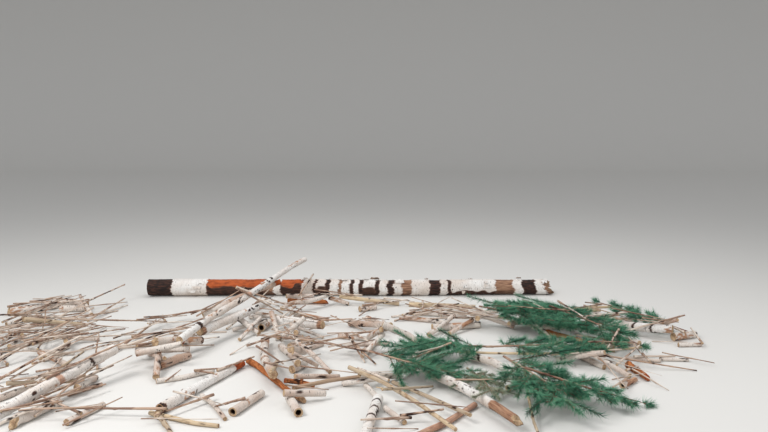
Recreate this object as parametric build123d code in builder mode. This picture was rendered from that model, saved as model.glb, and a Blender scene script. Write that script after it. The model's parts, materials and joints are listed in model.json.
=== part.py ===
from build123d import *
import math
import os
import random
from typing import NamedTuple

import numpy as np

# A low, loose heap of cut birch logs, poles, brushwood and pine boughs, with one long trunk
# along its back. +Z is up, +X is right and +Y is away, seen from the side that it is worked from.
# Each log is placed in plan by hand. Its height and its slope are worked out: it is let down onto
# the floor and onto the pieces that lie there already until it rests on both sides of its balance.

# Driving sizes in millimetres
TRUNK_LENGTH = 4100
TRUNK_BUTT = 178
TRUNK_TIP = 156
LARGE_LOG = 80
THICK_LOG = 66
MIDDLE_LOG = 56
SLIM_LOG = 44
THIN_LOG = 36
POLE = 30
STICK = 20
LOG_TAPER = 0.88
STICK_TAPER = 0.6
BILLET_LENGTH = 1000
BARK_WALL = 9
HOLLOW_DEPTH = 70
FORK_TAPER = 0.62
STEM_BUTT = 16
STEM_TIP = 6
TWIG_ROOT = 10
NEEDLE_BRUSH = 36
DRY_BRUSH = 22
BRUSH_TIP = 14
TWIG_ANGLE = 53
STICK_OVERHANG = 140
CROSSING_OVERLAP = 60
SEAT_GAP = 0.2
TOUCH = 0.7

# How twigs sit on a bough: the bare butt in twig spacings, where they are longest, how much they
# shorten from there and close up towards the tip, and where a brush of needles is widest
BARE_BUTT = 1.5
LONGEST_AT = 0.45
SHORTENING = 0.6
CLOSING_UP = 0.36
WIDEST_AT = 0.35

# How much strewn pieces differ: the shares of the diameter, and the bend as a share of the length
THINNEST = 0.7
THICKEST = 1.1
SLIGHT_BEND = 0.04
LAYING_ROUNDS = 8

# Flat sides of the sections that aren't drawn round, and the diameters up to which they are used
LOG_SIDES = 12
SLIM_SIDES = 10
STICK_SIDES = 6
LOG_UP_TO = 100
SLIM_UP_TO = 48
STICK_UP_TO = 26


class Fork(NamedTuple):
    """A side branch: where it leaves as a share of the length, its turn, length and diameter."""

    share: float
    turn: float
    length: float
    butt: float


class Log(NamedTuple):
    """A log or stick, by the middle of its length in plan and the way it points in degrees.

    Bends are points beside the straight line, as (share of the length, offset to the left).
    Cuts are the slants of the two ends in degrees, and hollow names the rotted end."""

    node: str
    x: float
    y: float
    heading: float
    length: float
    butt: float
    bends: tuple = ()
    taper: float = LOG_TAPER
    cuts: tuple = (0, 0)
    hollow: str = ""
    forks: tuple = ()


class Bough(NamedTuple):
    """A cut pine bough, by the middle of its stem in plan and the way it points in degrees."""

    node: str
    x: float
    y: float
    heading: float
    form: str


class BoughForm(NamedTuple):
    """The growth of a bough: stem length and bend, and its twigs to both sides in turn."""

    length: float
    bend: float
    twigs: int
    twig_length: float
    brush: float


class Patch(NamedTuple):
    """A patch of like pieces strewn by chance: its middle, half sizes, way, lengths and count."""

    node: str
    x: float
    y: float
    half_x: float
    half_y: float
    heading: float
    fan: float
    shortest: float
    longest: float
    butt: float
    count: int


TRUNK = Log("back_trunk", -300, 1660, 1, TRUNK_LENGTH, TRUNK_BUTT, taper=TRUNK_TIP / TRUNK_BUTT,
            bends=((0.3, 14), (0.62, -16), (0.85, 6)), cuts=(0, 24), hollow="start")

# The logs that lie lowest, from left to right
FLOOR_LOGS = [
    Log("short_logs_left", -3200, 960, 42, 430, LARGE_LOG, cuts=(12, 0)),
    Log("short_logs_left", -2960, 1160, -13, 390, LARGE_LOG),
    Log("short_logs_left", -2830, 970, 6, 250, THICK_LOG),
    Log("short_logs_left", -3120, 620, 62, 340, THIN_LOG),
    Log("short_logs_left", -2790, -210, 60, 360, THIN_LOG),
    Log("short_logs_left", -2440, -330, 72, 300, THIN_LOG, bends=((0.5, 18),)),
    Log("short_logs_left", -2330, -1250, 65, 620, SLIM_LOG, cuts=(20, 0)),
    Log("broken_front_log", -2010, -1560, 74, 400, MIDDLE_LOG, bends=((0.4, 12),), cuts=(35, 0)),
    Log("short_logs_left", -1730, -1540, 70, 300, SLIM_LOG),
    Log("short_logs_left", -1900, -1120, 53, 240, POLE),
    Log("hollow_left_log", -1490, -580, 59, 300, THICK_LOG, hollow="start"),
    Log("big_white_log", -1150, -1070, 70, 930, THICK_LOG, bends=((0.5, 10),), hollow="start"),
    Log("short_logs_left", -1330, -860, 36, 400, THIN_LOG, bends=((0.43, -28),)),
    Log("short_logs_left", -1020, -1420, -59, 440, POLE, bends=((0.4, 14),)),
    Log("hollow_front_log", -820, -1380, 70, 345, MIDDLE_LOG, hollow="start"),
    Log("forked_front_branch", -1140, -1620, -22, 470, POLE, bends=((0.2, -30), (0.7, -22)),
        forks=(Fork(0.2, -38, 270, 38),)),
    Log("short_logs_centre", -780, 600, -12, 150, SLIM_LOG),
    Log("grey_brown_stub", -985, 420, 78, 267, THICK_LOG, hollow="start"),
    Log("orange_pine_log", -726, 1290, -7, 400, MIDDLE_LOG, cuts=(0, 30)),
    Log("short_logs_centre", -430, 1230, -14, 200, SLIM_LOG),
    Log("short_logs_centre", -650, 520, -24, 270, SLIM_LOG),
    Log("short_logs_centre", -655, -80, 62, 270, SLIM_LOG),
    Log("short_logs_centre", -540, -210, 54, 230, THIN_LOG),
    Log("short_logs_centre", -592, -700, 63, 160, MIDDLE_LOG),
    Log("orange_front_log", -724, -951, -58, 926, MIDDLE_LOG, taper=0.78,
        bends=((0.18, 12), (0.74, -14)), cuts=(0, 50)),
    Log("end_on_log", -537, -1430, -71, 260, MIDDLE_LOG, taper=1, hollow="end"),
    Log("root_piece", -540, -1080, 12, 200, THIN_LOG, bends=((0.5, 22),),
        forks=(Fork(0.5, 70, 90, 26),)),
    Log("back_sticks", -140, 1220, -4, 570, SLIM_LOG, bends=((0.5, -10),)),
    Log("back_sticks", 540, 1130, -8, 622, SLIM_LOG, bends=((0.4, 12),), forks=(Fork(0.2, 155, 120, 24),)),
    Log("short_logs_centre", -150, 1000, 30, 170, MIDDLE_LOG),
    Log("short_logs_centre", 350, 830, -14, 290, SLIM_LOG, cuts=(25, 0)),
    Log("short_logs_centre", 620, 757, 4, 240, MIDDLE_LOG, cuts=(0, 20)),
    Log("short_logs_centre", 930, 900, 12, 210, THIN_LOG),
    Log("short_logs_centre", 330, 600, -24, 427, SLIM_LOG, bends=((0.7, 14),)),
    Log("short_logs_centre", -60, 470, -60, 347, MIDDLE_LOG),
    Log("short_logs_centre", -240, 50, -19, 260, SLIM_LOG),
    Log("short_logs_centre", -110, -231, 75, 290, MIDDLE_LOG),
    Log("right_end_log", 599, 356, 14, 419, THICK_LOG, hollow="end"),
    Log("short_logs_centre", -80, -1160, -70, 230, THIN_LOG),
    Log("short_logs_centre", 60, -1560, -63, 240, THIN_LOG),
    Log("striped_birch_log", -90, -1840, -96, BILLET_LENGTH, THICK_LOG, bends=((0.5, -8),)),
    Log("tan_front_log", 330, -1660, 51, 690, SLIM_LOG, bends=((0.5, -26),), cuts=(0, 15)),
    Log("short_logs_right", 856, -1030, 54, 240, SLIM_LOG, hollow="start"),
    Log("short_logs_right", 1471, -563, -68, 280, SLIM_LOG),
    Log("short_logs_right", 1582, -790, -60, 220, SLIM_LOG),
    Log("red_ended_log", 1721, -804, -82, 300, MIDDLE_LOG, cuts=(0, 38)),
    Log("short_logs_right", 1590, -1010, 45, 180, SLIM_LOG, hollow="start"),
    Log("short_logs_right", 1857, -500, -17, 240, POLE),
    Log("short_logs_right", 2080, -500, -5, 200, POLE),
    Log("short_logs_right", 2380, 70, 24, 230, THICK_LOG),
    Log("short_logs_right", 2340, -138, 4, 180, THIN_LOG),
    Log("short_logs_right", 1940, 690, -64, 290, SLIM_LOG),
    Log("black_marked_log", 2059, 200, -43, 560, LARGE_LOG, bends=((0.7, -30),), cuts=(15, 0)),
    Log("splintered_orange_log", 1487, -37, -48, 720, MIDDLE_LOG, bends=((0.2, 16),), cuts=(48, 0)),
]

# Short logs deep in the heap, between the ones that show
HIDDEN_LOGS = [
    Patch("low_logs_left", -2600, 100, 480, 900, 70, 60, 240, 460, THIN_LOG, 8),
    Patch("low_logs_left", -1750, -300, 420, 900, 60, 60, 240, 460, SLIM_LOG, 8),
    Patch("low_logs_centre", -900, 300, 420, 900, 10, 70, 220, 420, SLIM_LOG, 8),
    Patch("low_logs_centre", -250, -500, 520, 900, -50, 80, 220, 420, SLIM_LOG, 9),
    Patch("low_logs_right", 700, -200, 560, 800, -20, 80, 240, 440, SLIM_LOG, 8),
    Patch("low_logs_right", 1750, 0, 600, 600, -50, 60, 240, 440, THIN_LOG, 7),
]

# The logs that lie on others, in the order in which they were thrown on
UPPER_LOGS = [
    Log("big_birch_left", -2010, -1330, 63, BILLET_LENGTH, LARGE_LOG),
    Log("crooked_left_pole", -2830, 0, 84, 900, SLIM_LOG, bends=((0.18, -24), (0.53, 30), (0.81, -12))),
    Log("left_poles", -2700, 280, 48, 520, SLIM_LOG, taper=0.6),
    Log("left_poles", -2180, -1100, 40, 420, POLE),
    Log("left_poles", -2190, -740, 70, 380, STICK),
    Log("bent_back_log", -1270, 860, 25, 752, THICK_LOG, bends=((0.75, 56),)),
    Log("broken_left_log", -1503, -400, 56, 463, THICK_LOG, bends=((0.62, 12),), hollow="end"),
    Log("curved_centre_log", -691, 196, -36, 513, LARGE_LOG, bends=((0.4, 18), (0.8, -8))),
    Log("upright_centre_log", -870, 105, -76, 565, SLIM_LOG),
    Log("bent_centre_log", -811, -560, -66, 1025, THICK_LOG, bends=((0.35, -30), (0.6, -34))),
    Log("lower_centre_log", -680, -520, -72, 634, MIDDLE_LOG, bends=((0.6, 14),)),
    Log("knotty_white_stick", -726, 1000, 26, 640, SLIM_LOG,
        bends=((0.28, 60), (0.5, -20), (0.66, -24)), forks=(Fork(0.5, 62, 60, 26),)),
    Log("short_logs_centre", -479, -640, 62, 240, MIDDLE_LOG),
    Log("short_logs_centre", -440, -790, 23, 220, POLE),
    Log("short_logs_centre", -321, -633, -60, 473, THIN_LOG, bends=((0.5, 10),)),
    Log("short_logs_centre", -187, 229, -52, 477, MIDDLE_LOG),
    Log("grey_front_pole", -294, -1060, 32, 640, POLE, bends=((0.42, 32), (0.8, 14))),
    Log("elbow_log", 250, -250, -24, 400, MIDDLE_LOG, bends=((0.5, 74),), hollow="end"),
    Log("big_curved_log", 468, -1180, -66, 1374, THICK_LOG,
        bends=((0.08, -26), (0.28, -58), (0.55, 2), (0.82, 8)), cuts=(0, 40)),
    Log("front_poles", 80, -1440, -52, 1000, POLE, bends=((0.3, 46), (0.6, 40))),
    Log("front_poles", 270, -1330, -58, 807, POLE, bends=((0.3, 6),)),
    Log("front_poles", 150, -1300, 56, 600, STICK, bends=((0.5, -10),), forks=(Fork(0.1, 120, 70, 16),)),
    Log("speckled_right_log", 988, -860, -74, 1227, MIDDLE_LOG, bends=((0.27, 44), (0.45, 4), (0.8, 18))),
    Log("short_logs_right", 1176, -648, -47, 371, THIN_LOG),
    Log("long_right_pole", 1581, 336, -62, 1383, MIDDLE_LOG, bends=((0.22, -52), (0.6, -36))),
    Log("right_poles", 1597, 900, -37, 500, POLE, bends=((0.4, 16),)),
    Log("right_poles", 1856, 860, -50, 440, POLE, forks=(Fork(0.15, 50, 190, 20),)),
]

# The long pieces that were thrown on last
TOP_LOGS = [
    Log("upper_pole", -1200, 240, 66, 960, LARGE_LOG, taper=0.8, bends=((0.6, -14),)),
    Log("long_pole", -1120, 540, 73, 2283, MIDDLE_LOG,
        bends=((0.19, 34), (0.44, 4), (0.67, 16), (0.89, 22))),
    Log("centre_top_pole", -718, -1000, -84, 889, POLE, bends=((0.47, 14),)),
    Log("long_thin_stick", 1185, -480, 2, 1350, STICK, bends=((0.2, -60), (0.45, -96), (0.75, -66))),
    Log("tall_thin_stick", 880, -1480, -95, 1250, STICK, bends=((0.3, -24), (0.7, -30)),
        forks=(Fork(0.3, 34, 160, 12),)),
]

BOUGH_FORMS = {
    "broad": BoughForm(720, 36, 8, 280, NEEDLE_BRUSH),
    "small": BoughForm(560, -26, 6, 240, NEEDLE_BRUSH),
    "sprig": BoughForm(600, 26, 5, 150, DRY_BRUSH),
}

BOUGHS = [
    Bough("pine_boughs_middle", 160, -880, -20, "small"),
    Bough("pine_boughs_middle", 420, -560, 160, "small"),
    Bough("pine_boughs_back", 1010, 240, -28, "broad"),
    Bough("pine_boughs_back", 1420, 500, 200, "broad"),
    Bough("pine_boughs_right", 1560, 60, -58, "broad"),
    Bough("pine_boughs_right", 1330, -340, -12, "broad"),
    Bough("pine_boughs_right", 2250, 380, 150, "small"),
    Bough("pine_boughs_front", 900, -1180, -74, "broad"),
    Bough("pine_boughs_front", 1090, -1440, -8, "small"),
    Bough("dry_pine_sprig", 600, -1120, -82, "sprig"),
]

LOW_BRUSH = [
    Patch("brushwood_left_back", -2780, 560, 360, 460, 62, 24, 420, 900, STICK, 9),
    Patch("brushwood_left", -2460, -330, 380, 440, 66, 20, 400, 860, STICK, 9),
    Patch("brushwood_left_front", -2060, -1180, 300, 340, 60, 24, 380, 760, STICK, 6),
    Patch("brushwood_centre_left", -1700, 100, 300, 560, 58, 30, 400, 820, STICK, 8),
    Patch("brushwood_centre_back", -1120, 620, 360, 300, 40, 40, 320, 640, STICK, 4),
    Patch("brushwood_right_back", 700, 700, 620, 420, -14, 40, 300, 620, STICK, 4),
    Patch("brushwood_right", 1650, 0, 560, 620, -50, 40, 320, 700, STICK, 5),
]

TOP_BRUSH = [
    Patch("brushwood_left_back", -2760, 500, 400, 480, 58, 26, 500, 1000, STICK, 9),
    Patch("brushwood_left", -2480, -300, 400, 460, 62, 24, 460, 900, STICK, 8),
    Patch("brushwood_left_front", -2080, -1140, 320, 360, 58, 28, 400, 800, STICK, 5),
    Patch("brushwood_centre_left", -1680, 120, 320, 560, 54, 32, 420, 860, STICK, 7),
    Patch("brushwood_centre_back", -1150, 600, 400, 320, 34, 44, 300, 600, STICK, 4),
    Patch("brushwood_centre", -560, -200, 420, 760, -50, 60, 240, 480, STICK, 7),
    Patch("brushwood_right_back", 800, 640, 620, 420, -14, 44, 280, 560, STICK, 4),
    Patch("brushwood_right", 1650, 60, 520, 560, -46, 44, 320, 640, STICK, 4),
]


class Piece:
    """A piece as chains of stations (along, beside, radius) in its own sloping plane."""

    def __init__(self, row, chains, sides):
        self.row = row
        self.sides = sides
        self.chains = [np.array(chain, float) for chain in chains]
        self.starts = np.vstack([chain[:-1] for chain in self.chains])
        self.stops = np.vstack([chain[1:] for chain in self.chains])
        runs = np.linalg.norm(self.stops[:, :2] - self.starts[:, :2], axis=1)
        weights = runs * (self.starts[:, 2] ** 2 + self.stops[:, 2] ** 2)
        middles = (self.starts[:, 0] + self.stops[:, 0]) / 2
        self.balance = float((weights * middles).sum() / weights.sum())
        self.thickest = max(self.starts[:, 2].max(), self.stops[:, 2].max())
        self.slope = 0.0
        self.height = 0.0

    def axes(self, slope):
        """The unit vectors along the piece, beside it and out of its plane."""
        turn = math.radians(self.row.heading)
        level = np.array([math.cos(turn), math.sin(turn), 0])
        along = level * math.cos(slope) + np.array([0, 0, math.sin(slope)])
        beside = np.array([-math.sin(turn), math.cos(turn), 0])
        return along, beside, np.cross(along, beside)

    def place(self, stations, slope, height):
        """Stations as points in space."""
        along, beside, _ = self.axes(slope)
        origin = np.array([self.row.x, self.row.y, height])
        return origin + stations[:, :1] * along + stations[:, 1:2] * beside


def sides_of(butt):
    """The flat sides of a section of this diameter, or none where it is round."""
    for widest, sides in ((STICK_UP_TO, STICK_SIDES), (SLIM_UP_TO, SLIM_SIDES), (LOG_UP_TO, LOG_SIDES)):
        if butt <= widest:
            return sides
    return 0


def log_piece(row):
    """The stem of a log and its forks as chains of stations."""
    half = row.length / 2
    shares = [0, *[share for share, _ in row.bends], 1]
    offsets = [0, *[offset for _, offset in row.bends], 0]
    stem = []
    for share, offset in zip(shares, offsets):
        stem.append((share * row.length - half, offset, row.butt / 2 * (1 - (1 - row.taper) * share)))
    chains = [stem]
    for fork in row.forks:
        root = (fork.share * row.length - half, float(np.interp(fork.share, shares, offsets)))
        turn = math.radians(fork.turn)
        tip = (root[0] + fork.length * math.cos(turn), root[1] + fork.length * math.sin(turn))
        chains.append([(*root, fork.butt / 2), (*tip, fork.butt / 2 * FORK_TAPER)])
    return Piece(row, chains, sides_of(row.butt))


def bough_chains(form):
    """The stem of a bough and the brushes of needles on its twigs as chains of stations."""
    half = form.length / 2
    middle = (STEM_BUTT + STEM_TIP) / 4
    stem = [(-half, 0, STEM_BUTT / 2), (0, form.bend, middle), (half, 0, STEM_TIP / 2)]
    marks = [(0, TWIG_ROOT / 2), (WIDEST_AT, form.brush / 2), (1, BRUSH_TIP / 2)]
    chains = [stem]
    side = 1
    for twig in range(form.twigs):
        share = (twig + BARE_BUTT) / (form.twigs + 1)
        reach = form.twig_length * (1 - SHORTENING * abs(share - LONGEST_AT))
        root = (share * form.length - half, form.bend * (1 - abs(2 * share - 1)))
        turn = side * math.radians(TWIG_ANGLE * (1 - CLOSING_UP * share))
        way = (reach * math.cos(turn), reach * math.sin(turn))
        chains.append([(root[0] + mark * way[0], root[1] + mark * way[1], radius) for mark, radius in marks])
        side = -side
    chains.append([(half - TWIG_ROOT + mark * form.twig_length, 0, radius) for mark, radius in marks])
    return chains


def strewn_rows(patch, chance):
    """The pieces of a patch, strewn evenly over it."""
    rows = []
    for step in range(patch.count):
        x = patch.x + patch.half_x * (2 * (step + 0.5) / patch.count - 1)
        y = patch.y + patch.half_y * chance.uniform(-1, 1)
        heading = patch.heading + patch.fan * chance.uniform(-1, 1)
        length = chance.uniform(patch.shortest, patch.longest)
        butt = patch.butt * chance.uniform(THINNEST, THICKEST)
        is_stick = patch.butt <= STICK
        bends = ((0.5, length * SLIGHT_BEND * chance.uniform(-1, 1)),) if is_stick else ()
        taper = STICK_TAPER if is_stick else LOG_TAPER
        rows.append(Log(patch.node, x, y, heading, length, butt, bends, taper))
    return rows


def nearest(p, u, q, v):
    """Where the straight runs p + a u and q + b v come nearest, and how near."""
    r = p - q
    uu = (u * u).sum(-1)
    vv = (v * v).sum(-1)
    uv = (u * v).sum(-1)
    ur = (u * r).sum(-1)
    vr = (v * r).sum(-1)
    spread = uu * vv - uv * uv
    crossing = spread > 1e-9 * uu * vv
    a = np.where(crossing, np.clip((uv * vr - ur * vv) / np.where(crossing, spread, 1), 0, 1), 0.5)
    b = (uv * a + vr) / vv
    a = np.where(b < 0, np.clip(-ur / uu, 0, 1), a)
    a = np.where(b > 1, np.clip((uv - ur) / uu, 0, 1), a)
    b = np.clip(b, 0, 1)
    between = p + a[..., None] * u - q - b[..., None] * v
    return a, b, np.sqrt((between * between).sum(-1))


def foot(point, q, v):
    """Where on the run q + b v the foot of a point lies."""
    return np.clip(((point - q) * v).sum(-1) / (v * v).sum(-1), 0, 1)


def half_thickness(radius, sides, out, run, way):
    """How far a section reaches towards a direction, where its corners point out of its plane."""
    corner = 2 * math.pi / np.maximum(sides, 1)
    up = (out * way).sum(-1)
    along = (run * way).sum(-1) / np.linalg.norm(run, axis=-1)
    turn = np.arctan2(np.sqrt(np.maximum(1 - up * up - along * along, 0)), np.abs(up))
    off_corner = np.abs((turn + corner / 2) % corner - corner / 2)
    return np.where(sides > 0, radius * np.cos(off_corner), radius)


class Heap:
    """The pieces that lie in the heap, and the rule that lets the next one down onto them."""

    HALVINGS = 14
    ROUNDS = 5
    THROWS = 6
    LAYINGS = 120
    CHOICE = 400
    LEVEL = np.array([1.0, 1.0, 0.0])
    SQUARE = 0.1
    SHARP = 25
    LONELY_REACH = 420

    def __init__(self):
        self.pieces = []
        self.groups = []
        self.starts = np.zeros((0, 3))
        self.runs = np.zeros((0, 3))
        self.outs = np.zeros((0, 3))
        self.radii = np.zeros((0, 2))
        self.sides = np.zeros(0)
        self.owners = np.zeros(0, int)

    def clearance(self, piece, slope, i, j, p, u, q, v):
        """The least gap between tapered runs, at their nearest points or at an end, and its way."""
        a, b, _ = nearest(p, u, q, v)
        a = np.stack([a, 0 * a, 0 * a + 1, foot(q, p, u), foot(q + v, p, u)])
        b = np.stack([b, foot(p, q, v), foot(p + u, q, v), 0 * b, 0 * b + 1])
        way = p + a[..., None] * u - q - b[..., None] * v
        apart = np.sqrt((way * way).sum(-1))
        way /= np.maximum(apart, 1e-6)[..., None]
        mine = piece.starts[i, 2] + a * (piece.stops[i, 2] - piece.starts[i, 2])
        other = self.radii[j, 0] + b * (self.radii[j, 1] - self.radii[j, 0])
        gap = apart - half_thickness(mine, piece.sides, piece.axes(slope)[2], u, way)
        gap -= half_thickness(other, self.sides[j], self.outs[j], v, way)
        least = np.argmin(gap, axis=0), np.arange(gap.shape[1])
        return gap[least], a[least], way[least]

    def beside(self, begin, run, margin):
        """The numbers of the runs in the heap that lie near these runs in plan."""
        ends = np.vstack([begin, begin + run])[:, :2]
        low, high = ends.min(0) - margin, ends.max(0) + margin
        mine, other = self.starts[:, :2], (self.starts + self.runs)[:, :2]
        return np.nonzero(((np.minimum(mine, other) < high) & (np.maximum(mine, other) > low)).all(1))[0]

    def supports(self, piece, slope):
        """Rows of (station along the piece, height that its axis needs there)."""
        stations = np.vstack(piece.chains)
        floor = np.stack([stations[:, 0], stations[:, 2] * math.cos(slope)], 1)
        begin = piece.place(piece.starts, slope, 0)
        run = piece.place(piece.stops, slope, 0) - begin
        reach = piece.thickest + self.radii.max(initial=0) + SEAT_GAP
        close = self.beside(begin, run, reach)
        p, u, q, v = np.broadcast_arrays(begin[:, None], run[:, None], self.starts[close], self.runs[close])
        a, b, apart = nearest(p * self.LEVEL, u * self.LEVEL, q * self.LEVEL, v * self.LEVEL)
        i, j = np.nonzero(apart < piece.thickest + self.radii[close].max(1, initial=0) + SEAT_GAP)
        if not len(i):
            return floor
        p, u, q, v, a, b = p[i, j], u[i, j], q[i, j], v[i, j], a[i, j], b[i, j]
        j = close[j]
        level = (q + b[:, None] * v - p - a[:, None] * u)[:, 2]
        low = level
        high = level + 3 * reach + np.abs(u[:, 2]) + np.abs(v[:, 2])
        for _ in range(self.HALVINGS):
            middle = (low + high) / 2
            lifted = p + middle[:, None] * [0, 0, 1]
            gap, a, _ = self.clearance(piece, slope, i, j, lifted, u, q, v)
            clear = gap > SEAT_GAP
            low = np.where(clear, low, middle)
            high = np.where(clear, middle, high)
        along = piece.starts[i, 0] + a * (piece.stops[i, 0] - piece.starts[i, 0])
        rests = np.stack([along, high + along * math.sin(slope)], 1)
        return np.vstack([floor, rests[high - level > SEAT_GAP]])

    def settle(self, piece):
        """Find the slope and height at which the piece rests on both sides of its balance."""
        slope = 0.0
        for turn in range(self.ROUNDS):
            found = self.supports(piece, slope)
            left = found[found[:, 0] <= piece.balance]
            right = found[found[:, 0] > piece.balance]
            share = (piece.balance - left[:, None, 0]) / (right[None, :, 0] - left[:, None, 0])
            carried = left[:, None, 1] * (1 - share) + right[None, :, 1] * share
            i, j = np.unravel_index(np.argmax(carried), carried.shape)
            wanted = math.atan2(right[j, 1] - left[i, 1], right[j, 0] - left[i, 0])
            slope = wanted if turn < 2 else (wanted + slope) / 2
        found = self.supports(piece, slope)
        piece.slope = slope
        piece.height = float((found[:, 1] - found[:, 0] * math.sin(slope)).max())

    def touched(self, piece):
        """The numbers of the pieces that the settled piece touches squarely."""
        begin = piece.place(piece.starts, piece.slope, piece.height)
        run = piece.place(piece.stops, piece.slope, piece.height) - begin
        close = self.beside(begin, run, piece.thickest + self.radii.max(initial=0) + TOUCH)
        p, u, q, v = np.broadcast_arrays(begin[:, None], run[:, None], self.starts[close], self.runs[close])
        a, b, apart = nearest(p, u, q, v)
        i, j = np.nonzero(apart < piece.thickest + self.radii[close].max(1, initial=0) + TOUCH)
        p, u, q, v, j = p[i, j], u[i, j], q[i, j], v[i, j], close[j]
        gap, _, way = self.clearance(piece, piece.slope, i, j, p, u, q, v)
        leaning = np.abs((way * u).sum(1)) / np.linalg.norm(u, axis=1)
        leaning_other = np.abs((way * v).sum(1)) / np.linalg.norm(v, axis=1)
        square = (leaning < self.SQUARE) & (leaning_other < self.SQUARE)
        return set(self.owners[j[square & (gap < TOUCH)]])

    def keep(self, piece):
        """Add a settled piece to those that carry the next, and join the groups that it touches."""
        number = len(self.pieces)
        joined = {self.groups[other] for other in self.touched(piece)} if self.pieces else set()
        self.groups = [number if group in joined else group for group in self.groups] + [number]
        begin = piece.place(piece.starts, piece.slope, piece.height)
        count = len(begin)
        self.starts = np.vstack([self.starts, begin])
        self.runs = np.vstack([self.runs, piece.place(piece.stops, piece.slope, piece.height) - begin])
        self.outs = np.vstack([self.outs, np.tile(piece.axes(piece.slope)[2], (count, 1))])
        self.radii = np.vstack([self.radii, np.stack([piece.starts[:, 2], piece.stops[:, 2]], 1)])
        self.sides = np.concatenate([self.sides, np.full(count, piece.sides)])
        self.owners = np.concatenate([self.owners, np.full(count, number)])
        self.pieces.append(piece)

    def put(self, piece):
        """Settle the piece where it was placed."""
        self.settle(piece)
        self.keep(piece)

    def shift_to_neighbour(self, piece):
        """The shift in plan that brings the piece across the nearest one, and how they then cross."""
        begin = piece.place(piece.starts, 0, 0)
        run = piece.place(piece.stops, 0, 0) - begin
        p, u, q, v = np.broadcast_arrays(begin[:, None], run[:, None], self.starts * self.LEVEL,
                                         self.runs * self.LEVEL)
        a, b, apart = nearest(p, u, q, v)
        i, j = np.unravel_index(np.argmin(apart), apart.shape)
        way = (q + b[..., None] * v - p - a[..., None] * u)[i, j]
        cosine = abs((u[i, j] * v[i, j]).sum()) / np.linalg.norm(u[i, j]) / np.linalg.norm(v[i, j])
        crossing = math.degrees(math.acos(min(1, cosine)))
        if not 0 < apart[i, j] < self.LONELY_REACH:
            return np.zeros(3), crossing
        return way * (1 + CROSSING_OVERLAP / apart[i, j]), crossing

    def throw(self, piece, chance):
        """Settle the piece, and while it would lie alone, shift and turn it across its neighbour."""
        for _ in range(self.THROWS):
            self.settle(piece)
            if self.touched(piece):
                break
            _, crossing = self.shift_to_neighbour(piece)
            turn = self.SHARP if crossing < self.SHARP else chance.uniform(-1, 1) * self.SHARP / 2
            piece.row = piece.row._replace(heading=piece.row.heading + turn)
            shift, _ = self.shift_to_neighbour(piece)
            piece.row = piece.row._replace(x=piece.row.x + shift[0], y=piece.row.y + shift[1])
        else:
            self.settle(piece)
        self.keep(piece)

    def lay_across(self, group, node_at, chance):
        """Lay a stick from a group that lies apart across a piece near to it."""
        groups = np.array(self.groups)[self.owners]
        mine, rest = np.nonzero(groups == group)[0], np.nonzero(groups != group)[0]
        p, u, q, v = np.broadcast_arrays(self.starts[mine][:, None], self.runs[mine][:, None],
                                         self.starts[rest], self.runs[rest])
        _, _, apart = nearest(p * self.LEVEL, u * self.LEVEL, q * self.LEVEL, v * self.LEVEL)
        order = np.argsort(apart, axis=None)[:self.CHOICE]
        for _ in range(self.LAYINGS):
            i, j = np.unravel_index(order[int(len(order) * chance.random() ** 2)], apart.shape)
            here = p[i, j] + chance.random() * u[i, j]
            there = q[i, j] + chance.random() * v[i, j]
            span = math.hypot(*(there - here)[:2])
            if span > self.LONELY_REACH:
                continue
            x, y = ((here + there) / 2)[:2]
            heading = math.degrees(math.atan2(there[1] - here[1], there[0] - here[0]))
            length = span + 2 * STICK_OVERHANG * chance.random()
            piece = log_piece(Log(node_at(x, y), x, y, heading, length, STICK, taper=STICK_TAPER))
            self.settle(piece)
            joined = {self.groups[other] for other in self.touched(piece)}
            if group in joined and len(joined) > 1:
                self.keep(piece)
                return

    def hold_together(self, node_at, chance):
        """Lay sticks until the heap hangs together."""
        for group in sorted(set(self.groups), key=self.groups.count):
            if group in self.groups and len(set(self.groups)) > 1:
                self.lay_across(group, node_at, chance)


def node_at(x, y):
    """The brushwood node whose patch is nearest to a place."""
    return min(TOP_BRUSH, key=lambda patch: math.hypot(patch.x - x, patch.y - y)).node


def settle_heap():
    """Let every piece down in turn, the lowest first."""
    chance = random.Random(11)
    heap = Heap()
    for row in [TRUNK, *FLOOR_LOGS]:
        heap.put(log_piece(row))
    for patch in [*HIDDEN_LOGS, *LOW_BRUSH]:
        for row in strewn_rows(patch, chance):
            heap.throw(log_piece(row), chance)
    for row in [*UPPER_LOGS, *TOP_LOGS]:
        heap.throw(log_piece(row), chance)
    for row in BOUGHS:
        heap.throw(Piece(row, bough_chains(BOUGH_FORMS[row.form]), STICK_SIDES), chance)
    for patch in TOP_BRUSH:
        for row in strewn_rows(patch, chance):
            heap.throw(log_piece(row), chance)
    for _ in range(LAYING_ROUNDS):
        heap.hold_together(node_at, chance)
    return heap.pieces


def ways_along(points):
    """The directions along a chain of points, at each point the mean of the runs beside it."""
    runs = np.diff(points, axis=0)
    runs /= np.linalg.norm(runs, axis=1)[:, None]
    ways = np.vstack([runs[:1], runs[:-1] + runs[1:], runs[-1:]])
    return ways / np.linalg.norm(ways, axis=1)[:, None]


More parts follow.
